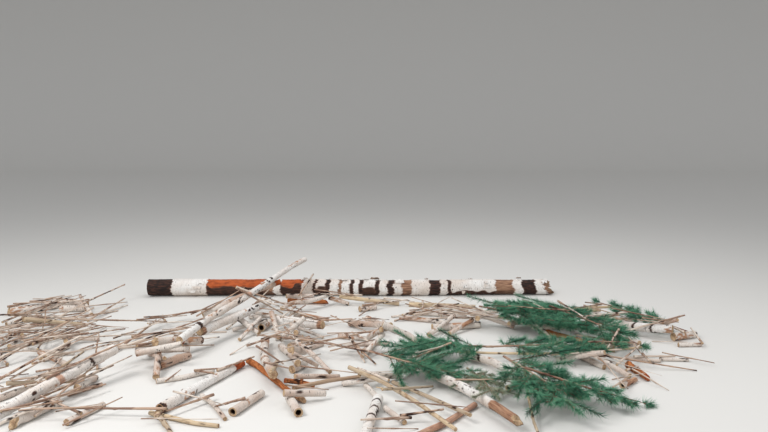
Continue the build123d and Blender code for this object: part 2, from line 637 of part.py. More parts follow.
def limb_solid(chain, sides, leans=(0, 0)):
    """A chain of stations lofted into a limb in the plane of its piece, with leaning end faces."""
    points = np.column_stack([chain[:, 0], chain[:, 1], 0 * chain[:, 0]])
    ways = ways_along(points)
    out = np.array([0, 0, 1])
    last = len(points) - 1
    corners = 2 * math.pi * np.arange(sides) / max(sides, 1)
    with BuildPart() as limb:
        for number, (point, way, radius) in enumerate(zip(points, ways, chain[:, 2])):
            lean = -leans[0] if number == 0 else leans[1] if number == last else 0
            turn = math.radians(lean)
            inward = radius * math.tan(turn) * way
            side = out * math.cos(turn) - way * math.sin(turn)
            face = way * math.cos(turn) + out * math.sin(turn)
            with BuildSketch(Plane(origin=tuple(point - inward), x_dir=tuple(side), z_dir=tuple(face))):
                if sides:
                    Polygon(*zip(radius / math.cos(turn) * np.cos(corners), radius * np.sin(corners)))
                else:
                    Ellipse(radius / math.cos(turn), radius)
        loft(ruled=True)
    return limb.part


def log_solid(piece):
    """A log in its own plane, with its forks, its slanting ends and its rotted hollow."""
    row = piece.row
    stem = piece.chains[0]
    with BuildPart() as wood:
        add(limb_solid(stem, piece.sides, row.cuts))
        add([limb_solid(fork, piece.sides) for fork in piece.chains[1:]])
        if row.hollow:
            end = 0 if row.hollow == "start" else -1
            points = np.column_stack([stem[:, 0], stem[:, 1], 0 * stem[:, 0]])
            way = ways_along(points)[end] * (-1 if end == 0 else 1)
            with BuildSketch(Plane(origin=tuple(points[end]), x_dir=(0, 0, 1), z_dir=tuple(way))):
                if piece.sides:
                    RegularPolygon(stem[end, 2] - BARK_WALL, piece.sides)
                else:
                    Circle(stem[end, 2] - BARK_WALL)
            extrude(amount=-HOLLOW_DEPTH, mode=Mode.SUBTRACT)
    return wood.part


def bough_solid(form):
    """A bough in its own plane: its stem and the closed brushes of its twigs."""
    with BuildPart() as wood:
        add([limb_solid(np.array(chain, float), STICK_SIDES) for chain in bough_chains(form)])
    return wood.part


def build_heap():
    """Write each node: one log, or the like pieces that share a name."""
    os.makedirs("parts", exist_ok=True)
    pieces = settle_heap()
    boughs = {name: bough_solid(form) for name, form in BOUGH_FORMS.items()}
    placed = []
    for piece in pieces:
        along, _, up = piece.axes(piece.slope)
        plane = Plane(origin=(piece.row.x, piece.row.y, piece.height), x_dir=tuple(along), z_dir=tuple(up))
        solid = boughs[piece.row.form] if isinstance(piece.row, Bough) else log_solid(piece)
        placed.append((piece.row.node, solid.moved(Location(plane))))
    boxes = [solid.bounding_box() for _, solid in placed]
    low = Vector(*[min(getattr(box.min, axis) for box in boxes) for axis in "XYZ"])
    high = Vector(*[max(getattr(box.max, axis) for box in boxes) for axis in "XYZ"])
    shift = Location((-(low.X + high.X) / 2, -(low.Y + high.Y) / 2, -low.Z))
    nodes = {}
    for node, solid in placed:
        nodes.setdefault(node, []).append(solid.moved(shift))
    for node, solids in nodes.items():
        group = solids[0] if len(solids) == 1 else Compound(children=solids)
        group.label = node
        export_step(group, f"parts/{node}.step")
    print("size", high - low, "pieces", len(placed), "nodes", len(nodes))


build_heap()
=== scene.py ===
import json
import math
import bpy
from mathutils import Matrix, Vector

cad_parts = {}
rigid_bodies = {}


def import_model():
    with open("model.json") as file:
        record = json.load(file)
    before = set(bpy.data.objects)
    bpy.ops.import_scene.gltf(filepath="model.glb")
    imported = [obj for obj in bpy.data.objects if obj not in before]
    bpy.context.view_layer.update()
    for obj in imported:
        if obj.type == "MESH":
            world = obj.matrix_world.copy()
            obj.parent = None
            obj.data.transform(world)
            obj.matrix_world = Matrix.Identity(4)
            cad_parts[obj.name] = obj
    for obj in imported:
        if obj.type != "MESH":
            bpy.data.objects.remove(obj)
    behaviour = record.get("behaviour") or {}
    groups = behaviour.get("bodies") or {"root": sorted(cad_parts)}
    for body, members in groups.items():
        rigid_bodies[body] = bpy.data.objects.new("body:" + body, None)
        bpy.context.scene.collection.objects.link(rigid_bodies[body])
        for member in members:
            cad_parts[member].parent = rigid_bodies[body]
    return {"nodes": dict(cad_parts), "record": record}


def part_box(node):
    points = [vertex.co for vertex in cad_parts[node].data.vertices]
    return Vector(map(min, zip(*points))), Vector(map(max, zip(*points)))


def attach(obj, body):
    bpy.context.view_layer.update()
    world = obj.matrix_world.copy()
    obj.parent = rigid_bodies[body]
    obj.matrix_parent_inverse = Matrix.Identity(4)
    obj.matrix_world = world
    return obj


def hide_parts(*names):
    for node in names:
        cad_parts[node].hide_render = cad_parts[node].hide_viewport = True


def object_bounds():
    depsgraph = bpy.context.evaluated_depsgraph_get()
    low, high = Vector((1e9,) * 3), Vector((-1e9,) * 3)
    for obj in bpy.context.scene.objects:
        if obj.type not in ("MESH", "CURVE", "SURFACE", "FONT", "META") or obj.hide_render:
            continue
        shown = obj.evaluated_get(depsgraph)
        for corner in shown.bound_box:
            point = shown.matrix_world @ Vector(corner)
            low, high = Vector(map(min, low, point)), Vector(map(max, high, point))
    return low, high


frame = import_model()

import zlib
from typing import NamedTuple

import bpy
import numpy as np

bl_info = {
    "name": "Stack of Logs",
    "version": (1, 0, 0),
    "blender": (4, 5, 0),
    "location": "View3D > Sidebar > Logs",
    "description": "Bark, cut ends, rot and needles for a loose heap of birch logs and pine boughs",
    "category": "Object",
}

# Each solid of a node is read from the frame as a stem with its forks. Its middle line, its
# thickness and its end faces give the path that the bark is carried along. Lengths are in metres.

MM = 0.001
CAD_BOX = [list(map(float, corner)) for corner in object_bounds()]
CLEAR_OF_FLOOR = 0.0005
THIN = 0.012

# The numbers that stir the place of a cell and a seed into a scattered number
STIRS = (374761393, 668265263, 1274126177, 974634777, 1103515245)

# How corners are merged, and how an end face is told from the flat sides of a log and of a twig
WELDS_PER_METRE = 1e5
SAME_PLANE, SAME_WAY = 0.0006, 0.9995
SLENDER, SLENDER_HOLLOW = 1.7, 2.6
ROUND, WIDEST_TWIG = 1.06, 0.015
HOLLOW_REACH = 0.12

# How the rings between the ends are told apart, how a fork and the stem of a bough run, how finely
# a chain is searched, and how often the corners of a path are rounded
RING_GAP, WIDEST_RING = 0.8, 1.35
FORK_MARGIN, FORK_ROOT = 1.75, 1.5
STEM_BEND = 0.47
CHAIN_STEPS, ROUNDINGS = 60, 6

# Points round a limb, at the least and the most, and round one that hardly shows
POINTS_ROUND, HIDDEN_ROUND = (8, 72), 14

# Bark: the length of patches of peeled, rotten and dark wood, the half width of the edge of a
# stretch, and how far such an edge wanders, with the size of the waves round the log and along it
PATCHES = (0.16, 0.14, 0.07)
EDGE = 0.004
WANDERS = ((0.035, 0.05, 0.4), (0.020, 0.012, 0.2), (0.010, 0.005, 0.2))

# Relief: swell and oval as shares of the radius, how deep rot crumbles and how far anything stands
# proud of the solid; and how far apart knots are, with the least and most of their size and height
SWELL, OVAL, ROT_DEPTH, MOST_PROUD = 0.05, 0.02, 0.004, 0.004
KNOT_GAP, KNOT_SIZES, KNOT_HEIGHTS = 0.28, (0.008, 0.016), (0.001, 0.004)

# How far an end is ragged, as a share of its radius: a splintered, a broken and a sawn one; and the
# radians that the rings drawn on an end turn in a metre, which puts them 4 mm apart
SPLINTERED_END, BROKEN_END, SAWN_END = 1.5, 0.5, 0.05
END_RINGS = 1570.0

# Flaps of bark: length and lift as shares of the radius, place and bow round the log in radians
FLAP_LONG, FLAP_LIFT, FLAP_TURN, FLAP_BOW = (0.3, 1.1), (0.05, 0.15), (-0.3, 2.6), (0.18, 0.55)
FLAP_THICK, FLAP_CLEAR, FLAP_POINTS = 0.0014, 0.002, 9

# Boughs: how the stem tapers, the radii of long and of short twigs and of their tips, and the step
# and the points round a stem and a twig
STEM_TAPER, LONG_TWIG = (1.0, 0.7, 0.4), 0.12
LONG_RADIUS, SHORT_RADIUS, TIP_RADIUS = 0.0036, 0.0022, 0.0012
STEM_DETAIL, TWIG_DETAIL = (0.02, 10), (0.05, 5)

# Side twigs and needles: how far they turn out, in degrees, and how long they are, as shares
SIDE_TURN, SIDE_LONG = (28, 52), (0.30, 0.50)
NEEDLE_LEAN, NEEDLE_LONG = (18, 62), (0.65, 1.15)

# The cells that the top of the heap is measured on. Strewn twigs: how steep and high they lie at
# the most, their length and radius, the shares of their length where they bend and how thick they are
# there, and the way that they lie, in degrees, at some places across the heap
CELL = 0.016
STEEPEST, HIGHEST = 0.22, 0.2
STREWN_LONG, STREWN_RADIUS = (0.16, 0.50), (0.0035, 0.0072)
STREWN_BENDS, STREWN_TAPER = (-0.5, -0.18, 0.16, 0.5), (1.0, 0.9, 0.75, 0.55)
TREND, TREND_SPREAD = ((-1.5, 0.5, 2.0), (42, 0, -35)), 32

# The camera stands where the photograph was taken from, measured from the middle of the trunk
CAMERA_FROM_TRUNK = (0.30, -7.36)
CAMERA_HEIGHT = 1.65
CAMERA_PITCH = 6.57
LENS = 35.0

# The lamps: place, size and power
LAMPS = {
    "key": ((-3.5, -4.0, 5.5), 3.0, 350),
    "fill": ((5.0, -3.0, 4.0), 5.0, 90),
    "top": ((0.5, 2.0, 6.5), 6.0, 150),
}


class Cap(NamedTuple):
    """A flat end face: its middle, the way that it faces, its radius and that of its hollow."""

    middle: np.ndarray
    way: np.ndarray
    radius: float
    hollow: float
    corners: np.ndarray


class Limb(NamedTuple):
    """A limb: the middles and radii of its rings, the ways of its end faces and their hollows."""

    middles: np.ndarray
    radii: np.ndarray
    ways: tuple
    hollows: tuple = (0.0, 0.0)
    depth: float = 0.0


class Bark(NamedTuple):
    """How a kind of log is clothed: the relief and the thickness of its bark, how much of it is
    peeled, rotten and darkened, and how many flaps of it stand off on a metre."""

    relief: float
    thick: float
    peeled: float
    rotten: float
    dark: float
    flaps: float


TRUNK = "back_trunk"

BARKS = {
    TRUNK: Bark(0.0024, 0.0060, 0.03, 0.0, 0.05, 11.0),
    "birch_white": Bark(0.0014, 0.0022, 0.05, 0.0, 0.06, 5.0),
    "birch_mix": Bark(0.0016, 0.0022, 0.17, 0.0, 0.09, 1.5),
    "pine_orange": Bark(0.0032, 0.0030, 0.30, 0.70, 0.12, 0.0),
    "dry_stick": Bark(0.0010, 0.0010, 0.92, 0.0, 0.10, 0.0),
    "brushwood": Bark(0.0006, 0.0006, 0.60, 0.0, 0.14, 0.0),
}

# How far a stretch is peeled, rotten and darkened, above and on its underside, which most kinds
# darken as painted shade; and where the underside starts, from -1 at the top of the log to 1 at
# the bottom
KINDS = {
    "white": ((0.0, 0.0, 0.0), (0.0, 0.0, 0.0), 0.3),
    "peeled": ((1.0, 0.0, 0.2), (1.0, 0.0, 0.6), 0.3),
    "rotten": ((1.0, 1.0, 0.0), (1.0, 0.9, 0.3), 0.3),
    "rotten_top": ((1.0, 1.0, 0.0), (1.0, 0.3, 0.95), -0.35),
    "white_top": ((0.0, 0.0, 0.0), (1.0, 0.2, 0.9), 0.35),
    "broken_white": ((0.0, 0.0, 0.0), (1.0, 0.2, 0.9), -0.2),
    "dark": ((1.0, 0.25, 1.0), (1.0, 0.25, 1.0), 0.3),
    "scar": ((0.3, 0.0, 1.0), (0.3, 0.0, 1.0), 0.3),
    "tan": ((0.8, 0.15, 0.0), (0.8, 0.15, 0.1), 0.3),
}

# The bands of the trunk from its left end, each with the share of its length where it stops
TRUNK_BANDS = (
    (0.060, "dark"), (0.145, "white"), (0.285, "rotten_top"), (0.310, "peeled"), (0.327, "white"),
    (0.378, "rotten_top"), (0.405, "white"), (0.412, "dark"), (0.434, "broken_white"),
    (0.445, "dark"), (0.466, "white"), (0.474, "peeled"), (0.494, "white"), (0.503, "dark"),
    (0.516, "white"), (0.526, "dark"), (0.556, "broken_white"), (0.566, "dark"), (0.586, "white"),
    (0.602, "dark"), (0.622, "white"), (0.645, "peeled"), (0.690, "white"), (0.716, "dark"),
    (0.734, "white"), (0.742, "dark"), (0.852, "white_top"), (0.897, "peeled"), (0.920, "white"),
    (0.955, "dark"), (0.983, "white"), (1.000, "peeled"),
)

# Stretches with a finish of their own: where they start and stop from the left end, and the kind
STRETCHES = {
    TRUNK: [(start, *band) for start, band in zip([0, *(stop for stop, _ in TRUNK_BANDS)],
                                                  TRUNK_BANDS)],
    "big_white_log": [(0, 0.03, "dark"), (0.36, 0.375, "scar"), (0.88, 1, "rotten")],
    "big_birch_left": [(0, 0.02, "dark"), (0.30, 0.315, "scar"), (0.52, 0.56, "tan"),
                       (0.78, 0.80, "scar")],
    "big_curved_log": [(0.33, 0.345, "scar"), (0.56, 0.575, "scar"), (0.79, 1, "peeled")],
    "striped_birch_log": [(at, at + 0.022, "scar")
                          for at in (0.08, 0.19, 0.31, 0.42, 0.55, 0.66, 0.8)],
    "broken_left_log": [(0.52, 0.62, "rotten"), (0.97, 1, "dark")],
    "hollow_left_log": [(0, 0.06, "dark")],
    "curved_centre_log": [(0.92, 1, "peeled")],
    "upper_pole": [(0, 0.04, "peeled"), (0.45, 0.465, "scar")],
    "long_pole": [(0.12, 0.14, "scar"), (0.46, 0.48, "tan"), (0.66, 0.675, "scar")],
    "bent_centre_log": [(0, 0.16, "tan"), (0.58, 0.62, "peeled")],
    "speckled_right_log": [(0.16, 0.18, "scar"), (0.40, 0.43, "scar"), (0.66, 0.68, "scar")],
    "black_marked_log": [(0.2, 0.23, "scar"), (0.44, 0.48, "scar"), (0.72, 0.75, "scar")],
    "long_right_pole": [(0.2, 0.22, "scar"), (0.52, 0.56, "tan"), (0.8, 0.82, "scar")],
    "orange_front_log": [(0, 0.84, "rotten"), (0.84, 1, "tan")],
    "orange_pine_log": [(0, 1, "rotten")],
    "splintered_orange_log": [(0, 0.42, "rotten"), (0.42, 1, "tan")],
    "red_ended_log": [(0.55, 1, "rotten")],
    "tan_front_log": [(0, 1, "tan")],
    "grey_front_pole": [(0, 1, "tan")],
    "bent_back_log": [(0.34, 0.36, "peeled"), (0.94, 1, "rotten")],
}

# Ends that broke off in long splinters: the node, and 0 for its left end or -1 for its right one
SPLINTERED = {("big_curved_log", -1), ("splintered_orange_log", -1), ("splintered_orange_log", 0),
              ("broken_left_log", 0), ("broken_front_log", -1), ("orange_front_log", 0), (TRUNK, -1)}


def linear(hex_text):
    """A colour written as sRGB hex, as linear red, green, blue and alpha."""
    parts = [int(hex_text[start:start + 2], 16) / 255 for start in (1, 3, 5)]
    return (*[part / 12.92 if part <= 0.04045 else ((part + 0.055) / 1.055) ** 2.4
              for part in parts], 1.0)


def colour(hex_text, what):
    """A colour property, its default written as sRGB hex."""
    return bpy.props.FloatVectorProperty(
        name=what, description=f"Colour of the {what.lower()}", default=linear(hex_text), size=4,
        min=0, max=1, subtype="COLOR")


def length(metres, name, description):
    """A length property in metres."""
    return bpy.props.FloatProperty(name=name, description=description, default=metres, min=0.0005,
                                   precision=4, subtype="DISTANCE", unit="LENGTH")


def smooth_step(values, low, high):
    """Rise from 0 to 1 between low and high, level at both ends."""
    share = np.clip((values - low) / (high - low), 0, 1)
    return share * share * (3 - 2 * share)


def scatter(cells, seed):
    """A number from 0 to 1 for each whole cell of space, always the same for the same cell."""
    x, y, z = cells[..., 0], cells[..., 1], cells[..., 2]
    stir = x * STIRS[0] + y * STIRS[1] + z * STIRS[2] + seed * STIRS[3]
    stir = (stir ^ (stir >> 13)) * STIRS[4]
    return ((stir ^ (stir >> 16)) & 0xFFFF) / 0xFFFF


def noise(points, around, along, seed):
    """Smooth noise from 0 to 1: the scattered numbers of a grid of cells, blended between corners.

    A cell has one size round a log and another along it."""
    place = points / np.array([around, around, along]) + 500
    cells = np.floor(place).astype(np.int64)
    share = place - cells
    share = share * share * (3 - 2 * share)
    total = np.zeros(points.shape[:-1])
    for corner in np.ndindex(2, 2, 2):
        weight = np.prod(np.where(corner, share, 1 - share), axis=-1)
        total += weight * scatter(cells + corner, seed)
    return total


def seed_of(name, number=0):
    """A seed that belongs to a name and a number."""
    return zlib.crc32(name.encode()) % 9973 + 31 * number


def solids_of(node):
    """The solids of a node as merged corners and triangles, found by spreading the lowest label."""
    mesh = frame["nodes"][node].data
    mesh.calc_loop_triangles()
    triangles = np.empty(3 * len(mesh.loop_triangles), int)
    mesh.loop_triangles.foreach_get("vertices", triangles)
    points = corners_of(mesh)
    _, first, index = np.unique(np.round(points * WELDS_PER_METRE), axis=0, return_index=True,
                                return_inverse=True)
    points = points[first]
    triangles = index.reshape(-1)[triangles].reshape(-1, 3)
    labels = np.arange(len(points))
    while True:
        lowest = labels[triangles].min(1)
        spread = labels.copy()
        for corner in range(3):
            np.minimum.at(spread, triangles[:, corner], lowest)
        if (spread == labels).all():
            break
        labels = spread
    found = []
    labels = labels[triangles[:, 0]]
    for label in np.unique(labels):
        used, mine = np.unique(triangles[labels == label], return_inverse=True)
        found.append((points[used], mine.reshape(-1, 3)))
    return found


def corners_of(mesh):
    """The corners of a mesh."""
    points = np.empty(3 * len(mesh.vertices))
    mesh.vertices.foreach_get("co", points)
    return points.reshape(-1, 3)


def caps_of(points, triangles):
    """The flat end faces of a solid: planes that hold four triangles or more on a ring of corners.

    Slender ones are the flat sides of a log."""
    a, b, c = (points[triangles[:, corner]] for corner in range(3))
    normals = np.cross(b - a, c - a)
    normals /= np.maximum(np.linalg.norm(normals, axis=1), 1e-12)[:, None]
    heights = (normals * a).sum(1)
    left = np.ones(len(triangles), bool)
    caps = []
    while left.any():
        first = np.argmax(left)
        off = np.abs(points[triangles] @ normals[first] - heights[first]).max(1)
        level = left & (normals @ normals[first] > SAME_WAY) & (off < SAME_PLANE)
        left &= ~level
        left[first] = False
        corners = np.unique(triangles[level])
        if level.sum() < max(4, len(corners) - 2):
            continue
        middle = points[corners].mean(0)
        reach = np.linalg.norm(points[corners] - middle, axis=1)
        open_middle = level.sum() >= len(corners)
        if reach.max() > (SLENDER_HOLLOW if open_middle else SLENDER) * reach.min():
            continue
        radius, hollow = (reach.max(), reach.min()) if open_middle else (reach.min(), 0)
        caps.append(Cap(middle, normals[first], float(radius), float(hollow), corners))
    return caps


def off_line(points, start, way):
    """How far points lie along a line and off it."""
    along = (points - start) @ way
    return along, np.linalg.norm(points - start - along[:, None] * way, axis=1)


def ring_of(points, way, widest):
    """The middle and radius of a ring of corners, from the two that are furthest apart.

    Where two rings run together, the middle of all corners and their distance off the way count."""
    apart = np.linalg.norm(points[:, None] - points[None], axis=2)
    i, j = np.unravel_index(np.argmax(apart), apart.shape)
    if apart[i, j] / 2 < widest:
        return (points[i] + points[j]) / 2, apart[i, j] / 2
    return points.mean(0), np.median(off_line(points, points.mean(0), way)[1])


def nearest_on(middles, point, way):
    """The point of a chain that lies nearest to a line."""
    share = np.linspace(0, 1, CHAIN_STEPS)[:, None]
    chain = np.vstack([start + share * (stop - start) for start, stop in zip(middles, middles[1:])])
    return chain[np.argmin(off_line(chain, point, way)[1])]


def limbs_of(points, triangles):
    """The stem of a solid and its forks as limbs, the stem from its left or far end."""
    caps = caps_of(points, triangles)
    apart = [[np.linalg.norm(cap.middle - other.middle) for other in caps] for cap in caps]
    pair = np.unravel_index(np.argmax(apart), (len(caps), len(caps)))
    start, stop = sorted((caps[number] for number in pair),
                         key=lambda cap: cap.middle[0] - 0.3 * cap.middle[1])
    depth, tips = 0.0, []
    for cap in (cap for number, cap in enumerate(caps) if number not in pair):
        inside = [(end.middle - cap.middle) @ end.way for end in (start, stop)
                  if end.hollow and end.way @ cap.way > SAME_WAY]
        if inside and 0 < max(inside) < HOLLOW_REACH:
            depth = max(inside)
        else:
            tips.append(cap)
    taken = np.zeros(len(points), bool)
    taken[np.concatenate([cap.corners for cap in caps])] = True
    for tip in tips:
        taken |= off_line(points, tip.middle, tip.way)[1] < FORK_MARGIN * tip.radius
    base = stop.middle - start.middle
    base /= np.linalg.norm(base)
    rest = points[~taken]
    along = (rest - start.middle) @ base
    order = np.argsort(along)
    gap = max(RING_GAP * start.radius, THIN)
    rings = np.split(order, np.nonzero(np.diff(along[order]) > gap)[0] + 1)
    widest = WIDEST_RING * max(start.radius, stop.radius)
    stations = [(start.middle, start.radius),
                *(ring_of(rest[ring], base, widest) for ring in rings if len(ring) > 3),
                (stop.middle, stop.radius)]
    middles, radii = (np.array(part) for part in zip(*stations))
    limbs = [Limb(middles, radii, (start.way, stop.way), (start.hollow, stop.hollow), depth)]
    for tip in tips:
        chain = np.array([nearest_on(middles, tip.middle, tip.way), tip.middle])
        limbs.append(Limb(chain, tip.radius * np.array([FORK_ROOT, 1]), (-tip.way, tip.way)))
    return limbs


def straight(root, tip, thick, thin):
    """A straight limb from root to tip."""
    way = (tip - root) / np.linalg.norm(tip - root)
    return Limb(np.array([root, tip]), np.array([thick, thin]), (-way, way))


def add_object(name, data):
    """Add an object to the scene."""
    thing = bpy.data.objects.new(name, data)
    bpy.context.scene.collection.objects.link(thing)
    return thing


def unit(ways):
    """Rows of ways, each made one long."""
    return ways / np.linalg.norm(ways, axis=1)[:, None]


def along_chain(at, lengths, points):
    """The points of a chain at some lengths along it."""
    return np.stack([np.interp(at, lengths, points[:, axis]) for axis in range(3)], 1)


def path_of(limb, step):
    """Evenly spaced middles, radii and lengths along a limb, its corners rounded a little."""
    runs = np.linalg.norm(np.diff(limb.middles, axis=0), axis=1)
    lengths = np.concatenate([[0], np.cumsum(runs)])
    along = np.linspace(0, lengths[-1], max(3, int(round(lengths[-1] / step)) + 1))
    middles = along_chain(along, lengths, limb.middles)
    for _ in range(ROUNDINGS):
        middles[1:-1] = (middles[:-2] + 2 * middles[1:-1] + middles[2:]) / 4
    return middles, np.interp(along, lengths, limb.radii), along


def frames_along(middles):
    """The ways along, beside and above a path, with the way above as near to upright as it goes."""
    along = unit(np.gradient(middles, axis=0))
    beside = unit(np.cross(along, [0, 0, 1]))
    return along, beside, np.cross(beside, along)


class Skin:
    """The closed surfaces of the limbs of one piece, gathered as arrays."""

    def __init__(self, name):
        self.name = name
        self.points, self.grain, self.wear = [], [], []
        self.quads, self.fans, self.second_quads, self.second_fans = [], [], [], []
        self.count = 0

    def add_rows(self, rows, grain, wear, cut=None):
        """Add a closed tube: rows of rings with a pole at each end, and which rows are cut wood."""
        height, around = rows.shape[:2]
        for store, part in ((self.points, rows), (self.grain, grain), (self.wear, wear)):
            poles = np.stack([part[0].mean(0), part[-1].mean(0)])
            store.extend([part.reshape(-1, part.shape[2]), poles])
        index = self.count + np.arange(height * around).reshape(height, around)
        onward = np.roll(index, -1, axis=1)
        quads = np.stack([index[:-1], onward[:-1], onward[1:], index[1:]], -1)
        self.quads.append(quads.reshape(-1, 4))
        pole = np.full(around, self.count + height * around)
        self.fans += [np.stack([pole, onward[0], index[0]], -1),
                      np.stack([pole + 1, index[-1], onward[-1]], -1)]
        self.second_fans.append(np.full(2 * around, cut is not None))
        cut = np.zeros(height, bool) if cut is None else cut
        self.second_quads.append(np.repeat(cut[:-1] | cut[1:], around))
        self.count += height * around + 2

    def add_limb(self, node, limb, bark, step, around, seed, cut_ends=True):
        """Add a limb in its bark, its end faces as cut wood or in bark too."""
        rows = log_rows(node, limb, bark, step, around, seed)
        *parts, cut = close_ends(limb, *rows, seed)
        self.add_rows(*parts, cut if cut_ends else None)

    def add_spikes(self, corners, faces, wear):
        """Add loose triangles in the second material."""
        self.points.append(corners)
        self.grain.append(corners)
        self.wear.append(wear)
        self.fans.append(faces + self.count)
        self.second_fans.append(np.ones(len(faces), bool))
        self.count += len(corners)

    def build(self, materials, slot, node=None):
        """Make the piece, with its grain and the shares of its finish, painted light among them, as
        attributes of its points.

        It rides with the heap, has a finish and may stand for a node."""
        points, quads, fans = (np.vstack(part) for part in (self.points, self.quads, self.fans))
        mesh = bpy.data.meshes.new(self.name)
        mesh.vertices.add(len(points))
        mesh.vertices.foreach_set("co", points.ravel())
        mesh.loops.add(quads.size + fans.size)
        mesh.loops.foreach_set("vertex_index", np.concatenate([quads.ravel(), fans.ravel()]))
        mesh.polygons.add(len(quads) + len(fans))
        starts = [4 * np.arange(len(quads)), quads.size + 3 * np.arange(len(fans))]
        mesh.polygons.foreach_set("loop_start", np.concatenate(starts))
        second = np.concatenate([*self.second_quads, *self.second_fans])
        mesh.polygons.foreach_set("material_index", second.astype(np.int32))
        mesh.update(calc_edges=True)
        mesh.polygons.foreach_set("use_smooth", np.ones(len(mesh.polygons), bool))
        grain = mesh.attributes.new("grain", "FLOAT_VECTOR", "POINT")
        grain.data.foreach_set("vector", np.vstack(self.grain).ravel())
        wear = mesh.attributes.new("wear", "FLOAT_COLOR", "POINT")
        wear.data.foreach_set("color", np.vstack(self.wear).ravel())
        for material in materials:
            mesh.materials.append(material)
        piece = add_object(self.name, mesh)
        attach(piece, "root")
        if node:
            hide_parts(node)


def wear_and_shade_of(node, bark, local, along, turns, seed):
    """How far the bark is peeled, rotten and darkened at each point; the darker underside of most
    stretches is painted shade.

    Patches are noise above a level that leaves the asked share. The listed stretches are
    blended in between edges that wander round the log, each with an upper and a lower side."""
    wear = np.zeros((*local.shape[:2], 3))
    for number, (amount, size) in enumerate(zip((bark.peeled, bark.rotten, bark.dark), PATCHES)):
        if amount:
            field = 0.65 * noise(local, size * 0.5, size, seed + number)
            field += 0.35 * noise(local, 0.012, 0.02, seed + 7 + number)
            level = 0.5 + 0.27 * (1 - 2 * amount)
            wear[..., number] = smooth_step(field, level - 0.03, level + 0.03)
    whole = along[-1]
    place = along[:, None] + sum(far * (noise(local, *size, seed + 21 + number) - 0.5)
                                 for number, (far, *size) in enumerate(WANDERS))
    # How far round towards the underside a point lies, from -1 at the top to 1 at the bottom, with a
    # wandering edge: there most kinds of stretch are darker as painted shade
    under = -np.sin(turns)[None] + 0.9 * (noise(local, 0.03, 0.06, seed + 24) - 0.5)
    for start, stop, kind in STRETCHES.get(node, ()):
        inside = smooth_step(place, start * whole - EDGE, start * whole + EDGE)
        inside *= 1 - smooth_step(place, stop * whole - EDGE, stop * whole + EDGE)
        if start == 0:
            inside = np.where(along[:, None] < stop * whole / 2, 1, inside)
        if stop == 1:
            inside = np.where(along[:, None] > (start + 1) * whole / 2, 1, inside)
        if kind == "scar":
            inside = inside * smooth_step(noise(local, 0.05, 0.3, seed + 25), 0.34, 0.42)
        # The lower goal of a kind holds its underside, mostly darker as painted shade
        upper, lower, level = KINDS[kind]
        below = smooth_step(under, level, level + 0.12)[..., None]
        goal = np.array(upper) * (1 - below) + np.array(lower) * below
        share = inside[..., None] * (0.85 if kind == "white" else 1)
        wear = wear * (1 - share) + goal * share
    return wear


def log_rows(node, limb, bark, step, around, seed):
    """Rings of one limb: its path with a slightly oval section, knots, relief and ragged ends.

    radius(turn, along) = r (1 + oval) + knots + relief x (noise - 0.6) - what has peeled away."""
    middles, radii, along = path_of(limb, step)
    ways, beside, above = frames_along(middles)
    turns = 2 * math.pi * np.arange(around) / around
    lie = np.stack([np.cos(turns), np.sin(turns)], -1)
    radial = beside[:, None] * lie[:, :1] + above[:, None] * lie[:, 1:]
    lengths = np.broadcast_to(along[:, None, None], (len(along), around, 1))
    chance = np.random.default_rng(seed)
    shift = chance.uniform(0, 40, 3)
    local = np.concatenate([radii[:, None, None] * lie[None], lengths], -1) + shift
    wear = wear_and_shade_of(node, bark, local, along, turns, seed)
    swell = SWELL * (noise(local, 0.08, 0.12, seed + 3) - 0.6)
    swell += OVAL * np.cos(2 * turns + chance.uniform(0, 6))[None]
    relief = bark.relief * (noise(local, 0.012, 0.016, seed + 5) - 0.6)
    relief += 0.7 * bark.relief * (noise(local, 0.006, 0.03, seed + 6) - 0.6)
    crumbled = ROT_DEPTH * wear[..., 1] * noise(local, 0.008, 0.05, seed + 8)
    relief -= bark.thick * wear[..., 0] + crumbled
    knots = np.zeros(relief.shape)
    for _ in range(int(along[-1] / KNOT_GAP) + 1):
        at, turn = chance.uniform(0, along[-1]), chance.uniform(0, 2 * math.pi)
        round_knot = radii[:, None] * np.abs((turns - turn + math.pi) % (2 * math.pi) - math.pi)
        off = np.hypot(along[:, None] - at, round_knot) / chance.uniform(*KNOT_SIZES)
        knots += chance.uniform(*KNOT_HEIGHTS) * np.exp(-off * off)
    reach = radii[:, None] * (1 + swell) + knots + relief
    reach = np.minimum(reach, radii[:, None] + MOST_PROUD)
    rows = middles[:, None] + reach[..., None] * radial
    slid = 0
    for end, sign in ((0, 1), (-1, -1)):
        slope = -(radial[end] @ limb.ways[end]) / (ways[end] @ limb.ways[end]) * radii[end]
        ragged = BROKEN_END if np.abs(slope).max() > 0.35 * radii[end] else SAWN_END
        splinter = (SPLINTERED_END if (node, end) in SPLINTERED else ragged) * radii[end]
        place = np.concatenate([lie * radii[end], 0 * lie[:, :1]], -1) + shift
        slide = slope + sign * splinter * noise(place, 0.007, 0.007, seed + 11)
        near = np.exp(-np.abs(along - along[end]) / max(1.2 * np.abs(slide).max(), 0.004))
        rows = rows + near[:, None, None] * slide[None, :, None] * ways[:, None]
        slid = slid + near[:, None] * slide[None]
    local[..., 2] += slid
    rows[..., 2] = np.maximum(rows[..., 2], CLEAR_OF_FLOOR)
    pith = np.broadcast_to(radii[:, None, None], (*wear.shape[:2], 1))
    return rows, local, np.concatenate([wear, pith], -1)


def end_rings(radius, hollow, depth):
    """Rings from the middle of an end face to its rim, as shares of its radius and depths.

    A whole face sinks a little to its middle. A hollow goes down as a rough tunnel."""
    count = 5 if radius > THIN else 2
    if not hollow:
        shares = np.linspace(0, 1, count + 1)[1:-1]
        return [(share, 0.12 * radius * (1 - share) ** 2) for share in shares]
    edge = hollow / radius
    wall = [(edge * (0.98 - 0.18 * (1 - share)), depth * (1 - share))
            for share in np.linspace(0, 1, count)[1:]]
    return [(edge * 0.45, depth * 0.9), (edge * 0.8, depth), *wall, ((edge + 1) / 2, 0), (0.97, 0)]


